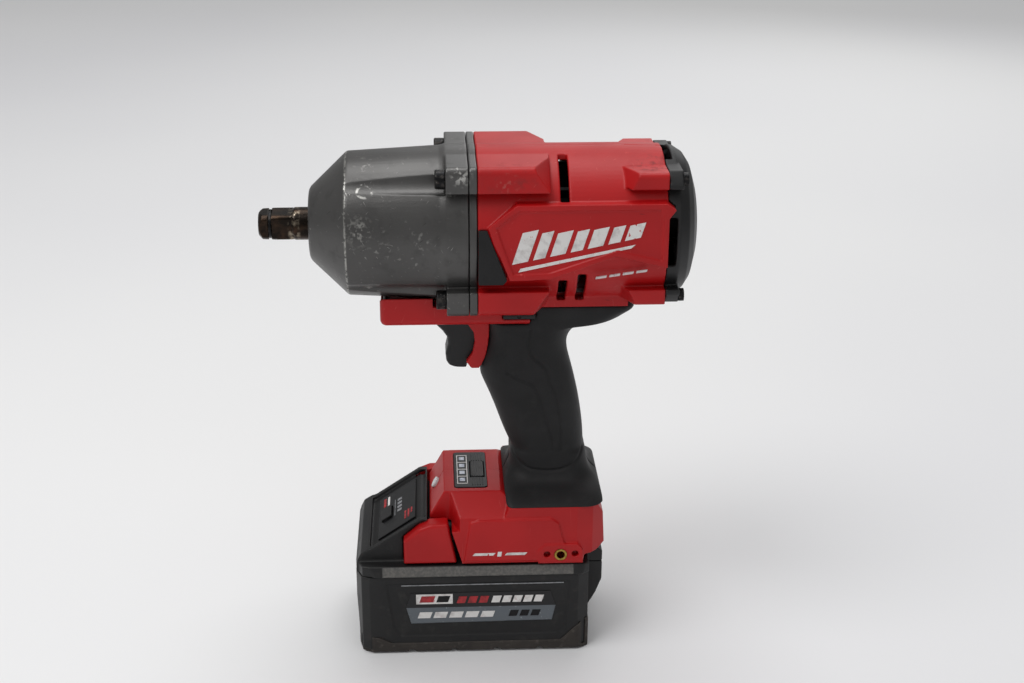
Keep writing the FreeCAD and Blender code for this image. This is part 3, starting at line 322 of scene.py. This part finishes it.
# Black oxide on turned steel: near black, with a low oily shine and bright rubbed rims.
oxide = begin("black_oxide_steel", "1d1d1e", 0.36, 0.85)
lay(oxide, cloud(oxide, 2.5, 0.5, 0.72, 4.0), colour="4a4643", rough=0.46)
lay(oxide, cloud(oxide, 0.9, 0.66, 0.74, 2.0, 8.0), colour="8d8a86", rough=0.3)
relief(oxide, cloud(oxide, 0.5, 0.2, 0.8, 2.0), 0.02)


def paint(material, *nodes):
    """Give a finish to nodes that keep their own shape."""
    for node in nodes:
        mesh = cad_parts[node].data
        mesh.materials.clear()
        mesh.materials.append(material)


put(moulded("case_screw_set", "case_screws", 0.28, 2), oxide.material, "tool", "black_steel", "case_screws")
paint(oxide.material, "rear_cap_screws", "housing_screws", "pack_screws")


# ---------------------------------------------------------------- Anvil, friction ring and bushing
# The hardened half-inch square drive, forged with its shank and hammer wings, browned by heat and
# knocked bright at its corners, with a split spring ring that holds the socket.

# Hardened steel, black oxide burnished brown: dark glossy flats and bright chipped corners.
burnt = begin("burnished_hardened_steel", "1d1814", 0.27, 0.9)
lay(burnt, cloud(burnt, 6.0, 0.42, 0.66, 4.0), colour="3a2c22", rough=0.32)
lay(burnt, cloud(burnt, 2.2, 0.56, 0.7, 5.0, 5.0), colour="191512", rough=0.38)
lay(burnt, times(burnt, edges(burnt, 0.54, 0.62), cloud(burnt, 1.6, 0.36, 0.5, 4.0, 2.0)),
    colour="a3978a", rough=0.24)
lay(burnt, times(burnt, band(burnt, 1, -91.0, -87.5, 1.5), cloud(burnt, 3.0, 0.47, 0.62, 4.0, 7.0)),
    colour="8d8272", rough=0.28)
relief(burnt, cloud(burnt, 1.2, 0.2, 0.8, 3.0), 0.03)
put(moulded("anvil_forging", "anvil", 0.3, 2), burnt.material, "anvil", "black_steel", "anvil")

# Music wire and tempered spring steel: blue-grey and bright, drawn smooth.
wire = begin("tempered_spring_steel", "8f8f92", 0.28, 1.0)
lay(wire, cloud(wire, 3.0, 0.4, 0.7, 3.0), colour="6f7075", rough=0.36)
relief(wire, cloud(wire, 0.4, 0.2, 0.8, 2.0), 0.01)
paint(oxide.material, "friction_ring")


def coil_spring(node, body):
    """A copy of a coil spring in spring steel, hung on the body that carries it."""
    coil = bpy.data.objects.new(node + "_coil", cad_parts[node].data.copy())
    bpy.context.scene.collection.objects.link(coil)
    put(coil, wire.material, body, "spring_steel", node)
    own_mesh(coil)


# The hammer spring loses 8 of its 36.2 mm and each release spring 3 of its length. The trigger
# meets its spring only in the last 0.48 mm of the pull, so that spring hardly shortens.
coil_spring("hammer_spring", "gear_carrier")
coil_spring("trigger_spring", "tool")
for side, sign in (("left", 1), ("right", -1)):
    coil_spring("release_spring_" + side, "pack")

# Oil-soaked sintered bronze: warm, matt and speckled with pores.
bronze = begin("sintered_bronze", "8a6a3c", 0.5, 0.9)
lay(bronze, cloud(bronze, 1.0, 0.5, 0.66, 4.0), colour="4d3a22", rough=0.62)
relief(bronze, cloud(bronze, 0.5, 0.3, 0.7, 3.0), 0.03)
paint(bronze.material, "nose_bushing")


# ---------------------------------------------------------------- Impact mechanism and gears
# Ground and hardened steel parts that run in grease inside the two castings: the hammer and its
# balls, the camshaft with its planet carrier, the gears, and the motor's shaft and bearings.

# Ground steel: bright, with fine machining lines and a thin film of grease.
ground = begin("ground_steel", "b2b1ae", 0.24, 1.0)
lay(ground, cloud(ground, 8.0, 0.4, 0.65, 4.0), colour="95938f", rough=0.32)
lay(ground, cloud(ground, 2.0, 0.62, 0.75, 4.0, 4.0), colour="7c7264", rough=0.4)
lines = add(ground.tree, "TexWave", {"bands_direction": "Y", "Scale": 1 / (2.4 * MM), "Distortion": 1.0},
            {"Vector": ground.where})
relief(ground, lines.outputs["Fac"], 0.012)
paint(ground.material, "hammer", "cam_balls", "camshaft_carrier", "planet_pins", "planet_gear_1",
      "planet_gear_2", "planet_gear_3", "ring_gear", "rotor_shaft", "front_bearing", "rear_bearing")


# ---------------------------------------------------------------- Motor
# A brushless motor: stacked steel sheets carry varnished copper coils round a magnet rotor, with a
# fan in front and a round sensor board behind.

# Varnished electrical steel, stacked in 0.5 mm sheets and drawn at 1 mm so that they show.
sheets = begin("stacked_electrical_steel", "55585c", 0.4, 0.85)
stack = add(sheets.tree, "TexWave", {"bands_direction": "Y", "Scale": 1 / (3.1 * MM), "Distortion": 0.4},
            {"Vector": sheets.where}).outputs["Fac"]
lay(sheets, stack, colour="3a3c40", rough=0.5)
lay(sheets, cloud(sheets, 6.0, 0.5, 0.7, 3.0), colour="6b5f52", rough=0.55)
relief(sheets, stack, 0.08)
paint(sheets.material, "rotor_core", "stator_core")

# Enamelled copper wire of 0.8 mm under clear varnish: orange-brown with a wet shine.
winding = begin("varnished_copper_wire", "a4501f", 0.25, 0.75)
turns = add(winding.tree, "TexWave", {"bands_direction": "DIAGONAL", "Scale": 1 / (2.6 * MM),
                                      "Distortion": 1.5, "Detail": 1.0},
            {"Vector": winding.where}).outputs["Fac"]
lay(winding, turns, colour="6f3112", rough=0.4)
relief(winding, turns, 0.25)
paint(winding.material, "stator_windings")

# Glass-epoxy circuit board under green solder mask: a thin gloss with paler tracks beneath.
circuit = begin("green_circuit_board", "12402a", 0.3)
tracks = add(circuit.tree, "TexVoronoi", {"feature": "DISTANCE_TO_EDGE", "Scale": 1 / (3.5 * MM)},
             {"Vector": circuit.where}).outputs["Distance"]
lay(circuit, add(circuit.tree, "MapRange", {"From Min": 0.1, "From Max": 0.06}, {"Value": tracks}).outputs[0],
    colour="3b7a4f", rough=0.36)
lay(circuit, cloud(circuit, 1.4, 0.66, 0.7, 1.0), colour="b9b7ad", rough=0.3)
relief(circuit, tracks, 0.1)
paint(circuit.material, "motor_board", "control_board", "pack_board")


# ---------------------------------------------------------------- Red motor housing
# Two clamshells in red glass-filled nylon, injection-moulded with a fine spark-eroded texture. The
# shells meet on the parting plane and are screwed together from the right.

# Red glass-filled nylon: saturated, with a soft satin sheen and paler rubbed edges.
red = begin("moulded_red_nylon", "b00b0f", 0.42, sockets={"Specular IOR Level": 0.34})
lay(red, cloud(red, 30.0, 0.35, 0.7, 3.0), colour="a1080c", rough=0.47)
lay(red, times(red, edges(red, 0.54, 0.62), cloud(red, 3.0, 0.4, 0.62, 4.0, 5.0)), colour="cc4440", rough=0.5)
skin = unrolled(red, 38.0)
for turn, keep, seed in ((12.0, 0.73, 31.0), (-52.0, 0.74, 37.0)):
    lay(red, scratches(red, skin, 6.0, 0.4, turn, keep, seed), colour="cc5c56", rough=0.55)
lay(red, scratches(red, skin, 9.0, 0.9, 84.0, 0.745, 41.0), colour="6c1013", rough=0.6)
# Painted shade in patches over the near upper lug, a pale rubbed smudge on its side, a darker patch high on
# the barrel near the rear, and a darker tone in the concave hollows
lay(red, times(red, near(red, (36.5, 14.0, 251.0), 7.0, 9.0), cloud(red, 4.0, 0.5, 0.7, 6.0, 3.0)),
    colour="941a1b", rough=0.56)
lay(red, times(red, near(red, (36.9, 12.5, 249.0), 3.0, 3.5), cloud(red, 1.8, 0.54, 0.66, 5.0, 6.0)),
    colour="a8403c", rough=0.56)
lay(red, times(red, near(red, (20.0, 84.0, 252.0), 7.0, 8.0), cloud(red, 3.4, 0.48, 0.66, 6.0, 13.0)),
    colour="7c1a1b", rough=0.6)
# A darker tone laid in the concave hollows, where pointiness is low
lay(red, times(red, edges(red, 0.465, 0.40), cloud(red, 5.0, 0.3, 0.6, 4.0, 8.0)),
    colour="6d1012", rough=0.65)
# Spark-eroded mould texture of about 0.3 mm, drawn at 0.7 mm so that it shows
relief(red, cloud(red, 0.7, 0.15, 0.85, 2.0, 1.0), 0.03)
for side in ("left", "right"):
    put(moulded("housing_shell_" + side, "housing_" + side, 0.5, 1), red.material, "tool", "red_nylon",
        "housing_" + side)


# ---------------------------------------------------------------- Printed bars on the red panel
# A plain maker's decoration: slanted white bars over a thin underline, and four small silver
# dashes, pad-printed on the flat side panel of each shell. Hand wear has chipped the ink.

def plates(name, outlines, x0, x1):
    """Thin flat plates of (y, z) outlines between two distances from the parting plane."""
    bm = bmesh.new()
    for outline in outlines:
        low = [bm.verts.new((x0, y, z)) for y, z in outline]
        high = [bm.verts.new((x1, y, z)) for y, z in outline]
        bm.faces.new(low)
        bm.faces.new(high[::-1])
        for i in range(len(outline)):
            bm.faces.new((low[i], high[i], high[i - 1], low[i - 1]))
    bmesh.ops.recalc_face_normals(bm, faces=bm.faces)
    return mesh_object(name, bm, smooth=False)


def on_both_sides(name, outlines, x0, x1, material, body, slot):
    """The same plates on the left and on the right."""
    put(plates(name + "_left", outlines, x0, x1), material, body, slot)
    put(plates(name + "_right", outlines, -x1, -x0), material, body, slot)


# White pad-printing ink: matt and a little dirty, worn through where hands rub.
ink = begin("white_pad_print", "dcdad8", 0.55)
lay(ink, cloud(ink, 4.0, 0.5, 0.7, 5.0), colour="bdb8b6", rough=0.6)
lay(ink, cloud(ink, 1.8, 0.66, 0.7, 5.0, 4.0), colour="b3383a", rough=0.5)
relief(ink, cloud(ink, 0.6, 0.2, 0.8, 2.0), 0.02)
SLOPE = 0.21
SLANT = 0.32
bars = []
for start, width, tall in ((14.5, 7.5, 15.5), (24.4, 5.6, 13.2), (32.4, 7.2, 11.4), (42.0, 5.6, 10.2),
                           (50.0, 7.2, 9.2), (59.6, 5.6, 8.2), (67.4, 7.4, 7.4)):
    foot = 208.6 + SLOPE * (start - 14.5) + 1.6
    bars.append([(start, foot), (start + width, foot + SLOPE * width),
                 (start + width + SLANT * tall, foot + SLOPE * width + tall),
                 (start + SLANT * tall, foot + tall)])
bars.append([(17.5, 206.4), (70.5, 217.6), (72.5, 219.4), (18.5, 208.2)])
PANEL_PRINT = (37.55, 37.92)     # buried and outer face of the ink, from the parting plane
on_both_sides("panel_bars", bars, *PANEL_PRINT, ink.material, "tool", "red_nylon")

# Silver ink: a metallic grey print.
silver = begin("silver_pad_print", "c9c4c4", 0.4, 0.3)
lay(silver, cloud(silver, 2.0, 0.5, 0.7, 4.0), colour="a08f90", rough=0.5)
relief(silver, cloud(silver, 0.6, 0.2, 0.8, 2.0), 0.02)
paint_dashes = []
DASH_SLOPE = 0.14
for y in (54.0, 60.4, 66.8, 73.2):
    foot = 202.6 + DASH_SLOPE * (y - 54.0)
    paint_dashes.append([(y, foot), (y + 5.0, foot + 0.7), (y + 5.3, foot + 1.7), (y + 0.3, foot + 1.0)])


# ---------------------------------------------------------------- Side patches
# A three-cornered pad of black rubber behind the lower case lug on each side, moulded into the red.

# Thermoplastic rubber: a soft matt black with a grey bloom and fine stipple.
rubber = begin("black_overmoulded_rubber", "131314", 0.6,
               sockets={"Specular IOR Level": 0.3, "Sheen Weight": 0.04, "Sheen Roughness": 0.5})
lay(rubber, cloud(rubber, 18.0, 0.4, 0.72, 4.0), colour="1a1a1b", rough=0.52)
lay(rubber, cloud(rubber, 6.0, 0.55, 0.78, 5.0, 3.0), colour="222222", rough=0.68)
lay(rubber, times(rubber, edges(rubber, 0.54, 0.62), cloud(rubber, 4.0, 0.4, 0.6, 4.0, 6.0)),
    colour="2f2e2e", rough=0.52)
relief(rubber, cloud(rubber, 0.8, 0.2, 0.8, 1.0, 2.0), 0.04)
for side in ("left", "right"):
    put(moulded("patch_pad_" + side, "side_patch_" + side, 0.35, 2), rubber.material, "tool",
        "black_rubber", "side_patch_" + side)


# ---------------------------------------------------------------- Grip rubber
# Soft rubber moulded over the nylon core of the handle, in two halves, swelling into a collar that
# covers the back of the foot. Fine sunk seams run down each side, and a ring seam parts the collar.

def smooth_line(points, steps=8):
    """Points on a smooth curve through the given (y, z) points."""
    p = [Vector(q) for q in points]
    p = [2 * p[0] - p[1]] + p + [2 * p[-1] - p[-2]]
    line = []
    for i in range(1, len(p) - 2):
        for s in range(steps):
            t = s / steps
            line.append(0.5 * ((2 * p[i]) + (p[i + 1] - p[i - 1]) * t
                               + (2 * p[i - 1] - 5 * p[i] + 4 * p[i + 1] - p[i + 2]) * t * t
                               + (3 * p[i] - p[i - 1] - 3 * p[i + 1] + p[i + 2]) * t ** 3))
    return np.array([tuple(v) for v in line + [p[-2]]])


def press_lines(obj, lines, width, depth, outer):
    """Sink narrow grooves along (y, z) lines into the sides, where they stand further out than outer."""
    count = len(obj.data.vertices)
    co = np.empty(count * 3, np.float64)
    obj.data.vertices.foreach_get("co", co)
    co = co.reshape(-1, 3) / MM
    gap = np.full(count, 99.0)
    for line in lines:
        for a, b in zip(line[:-1], line[1:]):
            run = b - a
            t = np.clip(((co[:, 1:] - a) @ run) / (run @ run), 0, 1)
            gap = np.minimum(gap, np.hypot(*(co[:, 1:] - a - t[:, None] * run).T))
    share = np.clip(1 - (gap / width) ** 2, 0, 1) ** 2 * np.clip((np.abs(co[:, 0]) - outer) / 2.0, 0, 1)
    co[:, 0] -= np.sign(co[:, 0]) * depth * share
    obj.data.vertices.foreach_set("co", (co * MM).ravel())
    obj.data.update()


GRIP_SEAMS = [[(24.5, 169.6), (24.1, 161.7), (26.1, 155.3), (32.1, 149.4), (34.2, 142.9), (37.9, 132.0),
               (40.1, 115.5), (40.3, 104.0)],
              [(13.3, 147.0), (19.8, 143.1), (26.3, 139.8), (29.8, 132.1), (32.5, 121.1), (35.6, 110.0),
               (36.6, 104.0)]]
COLLAR_SEAM = [(14.2, 104.6), (16.2, 101.6), (20.3, 96.8), (25.4, 94.2), (33.1, 93.2), (40.8, 93.8),
               (48.4, 97.4), (52.6, 103.6)]
RIM_TOP, RIM_FADE = 82.5, 5.0
SEAM_WIDTH, SEAM_DEPTH, SEAM_OUTER = 1.1, 0.7, 9.0
seams = [smooth_line(s) for s in GRIP_SEAMS + [COLLAR_SEAM]]
for side in ("left", "right"):
    grip = moulded("grip_skin_" + side, "grip_rubber_" + side, 0.6, 3, 170000)
    palm = grip.vertex_groups.new(name="palm")     # everything above the crisp lower rim of the collar
    for vertex in grip.data.vertices:
        height = vertex.co.z / MM
        palm.add([vertex.index], min(max((height - RIM_TOP) / RIM_FADE, 0.0), 1.0), "REPLACE")
    swell = grip.modifiers.new("swell", "SMOOTH")
    swell.factor = 0.5
    swell.iterations = 24
    swell.vertex_group = "palm"
    applied(grip)
    press_lines(grip, seams, SEAM_WIDTH, SEAM_DEPTH, SEAM_OUTER)
    put(grip, rubber.material, "tool", "black_rubber", "grip_rubber_" + side)


# ---------------------------------------------------------------- Trigger, direction shuttle and switch
# Black nylon controls: a scooped trigger that slides into the grip, and the bar above it that
# reverses the motor. The switch body sits behind the trigger.

# Black glass-filled nylon: dark charcoal with a dull satin sheen and grey rubbed edges.
nylon = begin("moulded_black_nylon", "141415", 0.46, sockets={"Specular IOR Level": 0.34})
lay(nylon, cloud(nylon, 20.0, 0.4, 0.7, 4.0), colour="1b1b1c", rough=0.4)
lay(nylon, cloud(nylon, 4.0, 0.58, 0.75, 5.0, 2.0), colour="242423", rough=0.58)
lay(nylon, times(nylon, edges(nylon, 0.54, 0.62), cloud(nylon, 3.0, 0.4, 0.6, 4.0, 4.0)),
    colour="3c3b3a", rough=0.44)
relief(nylon, cloud(nylon, 0.7, 0.15, 0.85, 2.0, 1.0), 0.03)
put(moulded("trigger_moulding", "trigger", 0.4, 6), nylon.material, "trigger", "black_nylon", "trigger")
put(moulded("shuttle_moulding", "direction_shuttle", 0.3, 3), nylon.material, "direction_shuttle",
    "black_nylon", "direction_shuttle")
paint(nylon.material, "switch_body", "terminal_block", "cell_holder", "cooling_fan")


# ---------------------------------------------------------------- Rear cap
# One black nylon moulding that closes the back of the barrel: a domed end with air slots at its
# rim, held by four screws in square lugs.
put(moulded("rear_cap_moulding", "rear_cap", 0.5, 3), nylon.material, "tool", "black_nylon", "rear_cap")


# ---------------------------------------------------------------- Mode panel and its button
# A glossy black film on the foot with four lamp windows in a white outline, and behind them a
# ribbed push-button that steps through the speeds.

# Printed polycarbonate film: near-black and glossy, with fine hair scratches.
film = begin("glossy_black_film", "0c0c0e", 0.32, sockets={"Specular IOR Level": 0.26})
lay(film, cloud(film, 8.0, 0.45, 0.7, 4.0), colour="121316", rough=0.38)
lay(film, cloud(film, 1.2, 0.64, 0.72, 5.0, 3.0), colour="2a2b2f", rough=0.42)
relief(film, cloud(film, 5.0, 0.2, 0.8, 1.0), 0.02)
put(moulded("mode_panel_film", "mode_panel", 0.3, 2), film.material, "tool", "panel_film", "mode_panel")
put(moulded("mode_button_cap", "mode_button", 0.28, 2), film.material, "mode_button", "panel_film",
    "mode_button")

# Milky lamp windows with a white printed outline.
milky = begin("milky_window_print", "c7ccd6", 0.3)
lay(milky, cloud(milky, 1.5, 0.4, 0.65, 3.0), colour="9aa2b4", rough=0.4)
relief(milky, cloud(milky, 0.5, 0.2, 0.8, 2.0), 0.02)


def boxes(name, cells, low, high):
    """Flat rectangles (x0, x1, y0, y1) from height low to high, with chamfered top edges."""
    bm = bmesh.new()
    for x0, x1, y0, y1 in cells:
        inset = min(0.12, (x1 - x0) / 4, (y1 - y0) / 4)
        base = [bm.verts.new((x, y, low)) for x, y in ((x0, y0), (x1, y0), (x1, y1), (x0, y1))]
        top = [bm.verts.new((x, y, high)) for x, y in ((x0 + inset, y0 + inset), (x1 - inset, y0 + inset),
                                                       (x1 - inset, y1 - inset), (x0 + inset, y1 - inset))]
        bm.faces.new(base[::-1])
        bm.faces.new(top)
        for i in range(4):
            bm.faces.new((base[i - 1], base[i], top[i], top[i - 1]))
    return mesh_object(name, bm, smooth=False)


WINDOW_PITCH = 8.15
frame_cells = [(-16.6, 16.6, -11.9, -11.3), (-16.6, 16.6, -6.9, -6.3)]
for i in range(5):
    x = -16.6 + WINDOW_PITCH * i
    frame_cells.append((x, x + 0.7, -11.4, -6.8))
put(boxes("lamp_window_frame", frame_cells, 85.6, 85.95), ink.material, "tool", "panel_film")
window_cells = [(-14.4 + WINDOW_PITCH * i, -10.7 + WINDOW_PITCH * i, -10.6, -7.7) for i in range(4)]
put(boxes("lamp_windows", window_cells, 85.6, 85.92), milky.material, "tool", "panel_film")
side_ribs = [(side * x0, side * x1, -4.3 + 1.3 * i, -3.7 + 1.3 * i) for i in range(5)
             for side, x0, x1 in ((1, 9.9, 18.4), (-1, 18.4, 9.9))]
put(boxes("mode_panel_ribs", side_ribs, 85.6, 86.1), nylon.material, "tool", "panel_film")
ribs = [(-8.2, 8.2, -4.3 + 1.3 * i, -3.7 + 1.3 * i) for i in range(5)]
put(boxes("mode_button_ribs", ribs, 85.9, 86.3), nylon.material, "mode_button", "panel_film")


# ---------------------------------------------------------------- Work lamp
# A small clear polycarbonate lens over a white lamp in the sloping front of the foot.

# Clear polycarbonate over a white lamp: bright, milky and glossy.
lens = begin("clear_lamp_lens", "eef0f0", 0.12, sockets={"Transmission Weight": 0.25, "IOR": 1.58})
lay(lens, cloud(lens, 1.5, 0.4, 0.7, 3.0), colour="d4d8da", rough=0.2)
relief(lens, cloud(lens, 1.0, 0.2, 0.8, 1.0), 0.03)
put(moulded("lamp_lens_dome", "lamp_lens", 0.22, 3), lens.material, "tool", "clear_lens", "lamp_lens")


# ---------------------------------------------------------------- Accessory inserts and motor leads
# A knurled brass thread insert pressed into each side of the foot for a belt clip, and the three
# silicone leads that climb the grip to the motor.

# Turned brass: warm yellow metal, dulled by handling.
brass = begin("turned_brass", "a58a45", 0.3, 1.0)
lay(brass, cloud(brass, 1.5, 0.45, 0.65, 4.0), colour="6d5a2c", rough=0.42)
relief(brass, cloud(brass, 0.4, 0.2, 0.8, 2.0), 0.02)
paint(brass.material, "accessory_inserts")

# Silicone insulation: soft, dark and slightly dusty.
insulation = begin("silicone_lead_insulation", "2a2c33", 0.55)
lay(insulation, cloud(insulation, 5.0, 0.45, 0.7, 4.0), colour="3c3d44", rough=0.65)
relief(insulation, cloud(insulation, 1.0, 0.2, 0.8, 2.0), 0.03)
paint(insulation.material, "motor_leads")


# ---------------------------------------------------------------- Battery pack shells
# Charcoal nylon mouldings: the upper case with its rails and sloping head, and the deep lower case
# with a sunk label field on each side. A dusty grey ledge runs round the joint between them.

# Charcoal nylon with a coarser texture: dull, dusty on top and rubbed grey along its edges.
pack = begin("charcoal_pack_nylon", "161617", 0.5, sockets={"Specular IOR Level": 0.34})
lay(pack, cloud(pack, 26.0, 0.4, 0.7, 4.0), colour="1d1d1d", rough=0.44)
lay(pack, cloud(pack, 5.0, 0.56, 0.74, 6.0, 2.0), colour="292827", rough=0.6)
lay(pack, times(pack, edges(pack, 0.54, 0.61), cloud(pack, 3.0, 0.36, 0.58, 5.0, 4.0)),
    colour="54524f", rough=0.5)
ledge = times(pack, band(pack, 2, 45.0, 49.2, 0.5), band(pack, 1, -50.0, 46.0, 0.6))
sides = add(pack.tree, "Math", {"operation": "ABSOLUTE"},
            {0: add(pack.tree, "SeparateXYZ", {}, {0: pack.where}).outputs[0]}).outputs[0]
outside = add(pack.tree, "MapRange", {"From Min": 36.6 * MM, "From Max": 37.0 * MM},
              {"Value": sides}).outputs[0]
lay(pack, times(pack, ledge, outside), colour="565553", rough=0.6)
lay(pack, times(pack, ledge, outside, cloud(pack, 1.4, 0.42, 0.66, 6.0, 7.0)), colour="696763", rough=0.65)
relief(pack, cloud(pack, 0.8, 0.15, 0.85, 2.0, 1.0), 0.04)
put(moulded("pack_upper_moulding", "pack_upper_case", 0.5, 2), pack.material, "pack", "black_nylon",
    "pack_upper_case")
put(moulded("pack_lower_moulding", "pack_lower_case", 0.5, 2), pack.material, "pack", "black_nylon",
    "pack_lower_case")


# ---------------------------------------------------------------- Pack bumper
# A tray of tough brown-grey nylon under the pack that takes the knocks, notched between the cells.

# Scuffed grey-brown nylon: matt, with dusty patches and pale rubbed corners.
bumper = begin("scuffed_grey_nylon", "2c2825", 0.6, sockets={"Specular IOR Level": 0.34})
lay(bumper, cloud(bumper, 9.0, 0.4, 0.66, 5.0), colour="38332f", rough=0.66)
lay(bumper, cloud(bumper, 2.5, 0.56, 0.7, 6.0, 3.0), colour="494440", rough=0.7)
lay(bumper, times(bumper, edges(bumper, 0.54, 0.62), cloud(bumper, 2.0, 0.4, 0.6, 5.0, 5.0)),
    colour="6a645e", rough=0.6)
relief(bumper, cloud(bumper, 0.9, 0.15, 0.85, 3.0, 1.0), 0.05)
put(moulded("pack_bumper_tray", "pack_bumper", 0.5, 3), bumper.material, "pack", "grey_nylon", "pack_bumper")


# ---------------------------------------------------------------- Release buttons
# Red nylon push-buttons on the pack's shoulders that draw the latches in.
for side in ("left", "right"):
    put(moulded("release_cap_" + side, "release_button_" + side, 0.35, 4), red.material,
        "release_button_" + side, "red_nylon", "release_button_" + side)


# ---------------------------------------------------------------- Charge gauge on the slope
# A black printed plate let into the pack's sloping head, with a push-button and a column of charge
# lamps between plain grey and red bars.
put(moulded("gauge_plate", "gauge_panel", 0.3, 1), film.material, "pack", "panel_film", "gauge_panel")
put(moulded("gauge_button_cap", "gauge_button", 0.2, 2), nylon.material, "gauge_button", "black_nylon",
    "gauge_button")

# Grey print on the black plate.
grey_print = begin("grey_pad_print", "8d8f92", 0.5)
lay(grey_print, cloud(grey_print, 2.5, 0.45, 0.68, 5.0), colour="6c6d70", rough=0.58)
relief(grey_print, cloud(grey_print, 0.6, 0.2, 0.8, 2.0), 0.02)
# Red print, a little worn.
red_print = begin("red_pad_print", "a8242a", 0.5)
lay(red_print, cloud(red_print, 2.5, 0.45, 0.68, 5.0), colour="761a1f", rough=0.58)
relief(red_print, cloud(red_print, 0.6, 0.2, 0.8, 2.0), 0.02)
slope_turn = (Matrix.Translation((0.0, -42.8 * MM, 63.2 * MM))
              @ Matrix.Rotation(math.atan2(16.0, 23.6), 4, "X"))


def on_slope(obj):
    """Tilt a piece drawn about the origin onto the middle of the slope."""
    obj.data.transform(slope_turn)
    return obj


put(on_slope(boxes("gauge_lamps", [(-9.6 + 4.0 * i, -7.2 + 4.0 * i, 0.4, 3.2) for i in range(4)]
                   + [(-10.6, 7.0, -1.3, -0.9)], 0.85, 1.05)), grey_print.material, "pack", "panel_film")
put(on_slope(boxes("gauge_red_bars", [(9.0, 17.5, 5.0, 6.2), (9.0, 17.5, 7.0, 8.2), (9.0, 14.5, 9.0, 10.0),
                                      (-18.5, -9.5, -8.6, -7.0)], 0.85, 1.05)),
    red_print.material, "pack", "panel_film")
put(on_slope(boxes("gauge_white_bar", [(-18.5, -9.0, -6.0, -4.6)], 0.85, 1.05)), ink.material, "pack",
    "panel_film")


# ---------------------------------------------------------------- Side labels
# A grey plate in the label field on each side of the pack with printed bars, and above it a white
# badge with a red core beside a red and a white bar.

# Printed grey film: flat grey with a faint sheen.
label = begin("grey_label_film", "5e646a", 0.38, sockets={"Specular IOR Level": 0.34})
lay(label, cloud(label, 10.0, 0.4, 0.7, 4.0), colour="5f656a", rough=0.46)
lay(label, cloud(label, 1.5, 0.64, 0.7, 5.0, 5.0), colour="8b9093", rough=0.5)
lay(label, band(label, 2, 26.3, 40.0, 0.1), colour="1e1e20", rough=0.42)
relief(label, cloud(label, 0.7, 0.2, 0.8, 2.0), 0.02)
put(moulded("side_label_plates", "side_labels", 0.3, 1), label.material, "pack", "label_film", "side_labels")


def slanted(y0, y1, z0, z1, lean=1.2):
    """A parallelogram that leans towards the tail."""
    return [(y0, z0), (y1, z0), (y1 + lean, z1), (y0 + lean, z1)]


LABEL_PRINT = (37.6, 37.86)      # buried and outer face of the print on the label field
BADGE_PRINT = (37.8, 37.95)      # the same for print on top of the badge
on_both_sides("badge", [slanted(-33.6, -15.0, 28.4, 34.0, 0.0)], *LABEL_PRINT, ink.material, "pack",
              "label_film")
on_both_sides("badge_core", [slanted(-32.0, -25.0, 29.4, 33.0)], *BADGE_PRINT, red_print.material, "pack",
              "label_film")
on_both_sides("badge_dash", [slanted(-23.4, -17.4, 29.4, 33.0)], *BADGE_PRINT, film.material, "pack",
              "label_film")
on_both_sides("label_red_bars", [slanted(-13.0 + 5.6 * i, -8.8 + 5.6 * i, 28.6, 32.4) for i in range(3)],
              *LABEL_PRINT, red_print.material, "pack", "label_film")
on_both_sides("label_white_bars", [slanted(4.6 + 5.4 * i, 8.8 + 5.4 * i, 28.6, 32.4) for i in range(5)],
              *LABEL_PRINT, ink.material, "pack", "label_film")
on_both_sides("label_pale_dashes", [slanted(-33.0 + 8.0 * i, -26.6 + 8.0 * i, 20.2, 23.6) for i in range(5)],
              *LABEL_PRINT, ink.material, "pack", "label_film")
on_both_sides("label_dark_dashes", [slanted(13.4 + 5.6 * i, 17.6 + 5.6 * i, 20.4, 23.8) for i in range(3)],
              *LABEL_PRINT, film.material, "pack", "label_film")
on_both_sides("label_rule", [[(-41.0, 38.9), (41.6, 38.9), (41.6, 39.4), (-41.0, 39.4)]], 37.2, 37.6,
              grey_print.material, "pack", "label_film")
FOOT_PRINT = (38.1, 38.42)       # the same on the raised panel of the foot
on_both_sides("foot_dashes", [slanted(-4.8, 5.6, 56.0, 57.4), slanted(7.6, 9.6, 55.4, 58.0, 0.4),
                              slanted(11.4, 21.6, 56.0, 57.4)], *FOOT_PRINT, ink.material, "tool",
              "red_nylon")
# The silver dashes of the red panel, whose outlines stand with its bars above
on_both_sides("panel_dashes", paint_dashes, 37.0, 38.1, silver.material, "tool", "red_nylon")


# ---------------------------------------------------------------- Cells and contacts
# Ten cylindrical cells in shrink sleeves, welded together by nickel straps, and the spring clips
# that take the tool's blades.

# Shrink sleeve: smooth bright plastic with printed-on haze.
sleeve = begin("cell_shrink_sleeve", "2f6f68", 0.28)
lay(sleeve, cloud(sleeve, 6.0, 0.4, 0.7, 3.0), colour="275c57", rough=0.36)
relief(sleeve, cloud(sleeve, 2.0, 0.2, 0.8, 1.0), 0.03)
paint(sleeve.material, "pack_cells")
# Nickel strip: pale warm metal with weld marks.
nickel = begin("rolled_nickel", "b7b2a6", 0.3, 1.0)
lay(nickel, cloud(nickel, 1.6, 0.6, 0.68, 2.0), colour="6f6a60", rough=0.5)
relief(nickel, cloud(nickel, 1.6, 0.4, 0.7, 2.0), 0.04)
paint(nickel.material, "cell_straps", "pack_contacts")
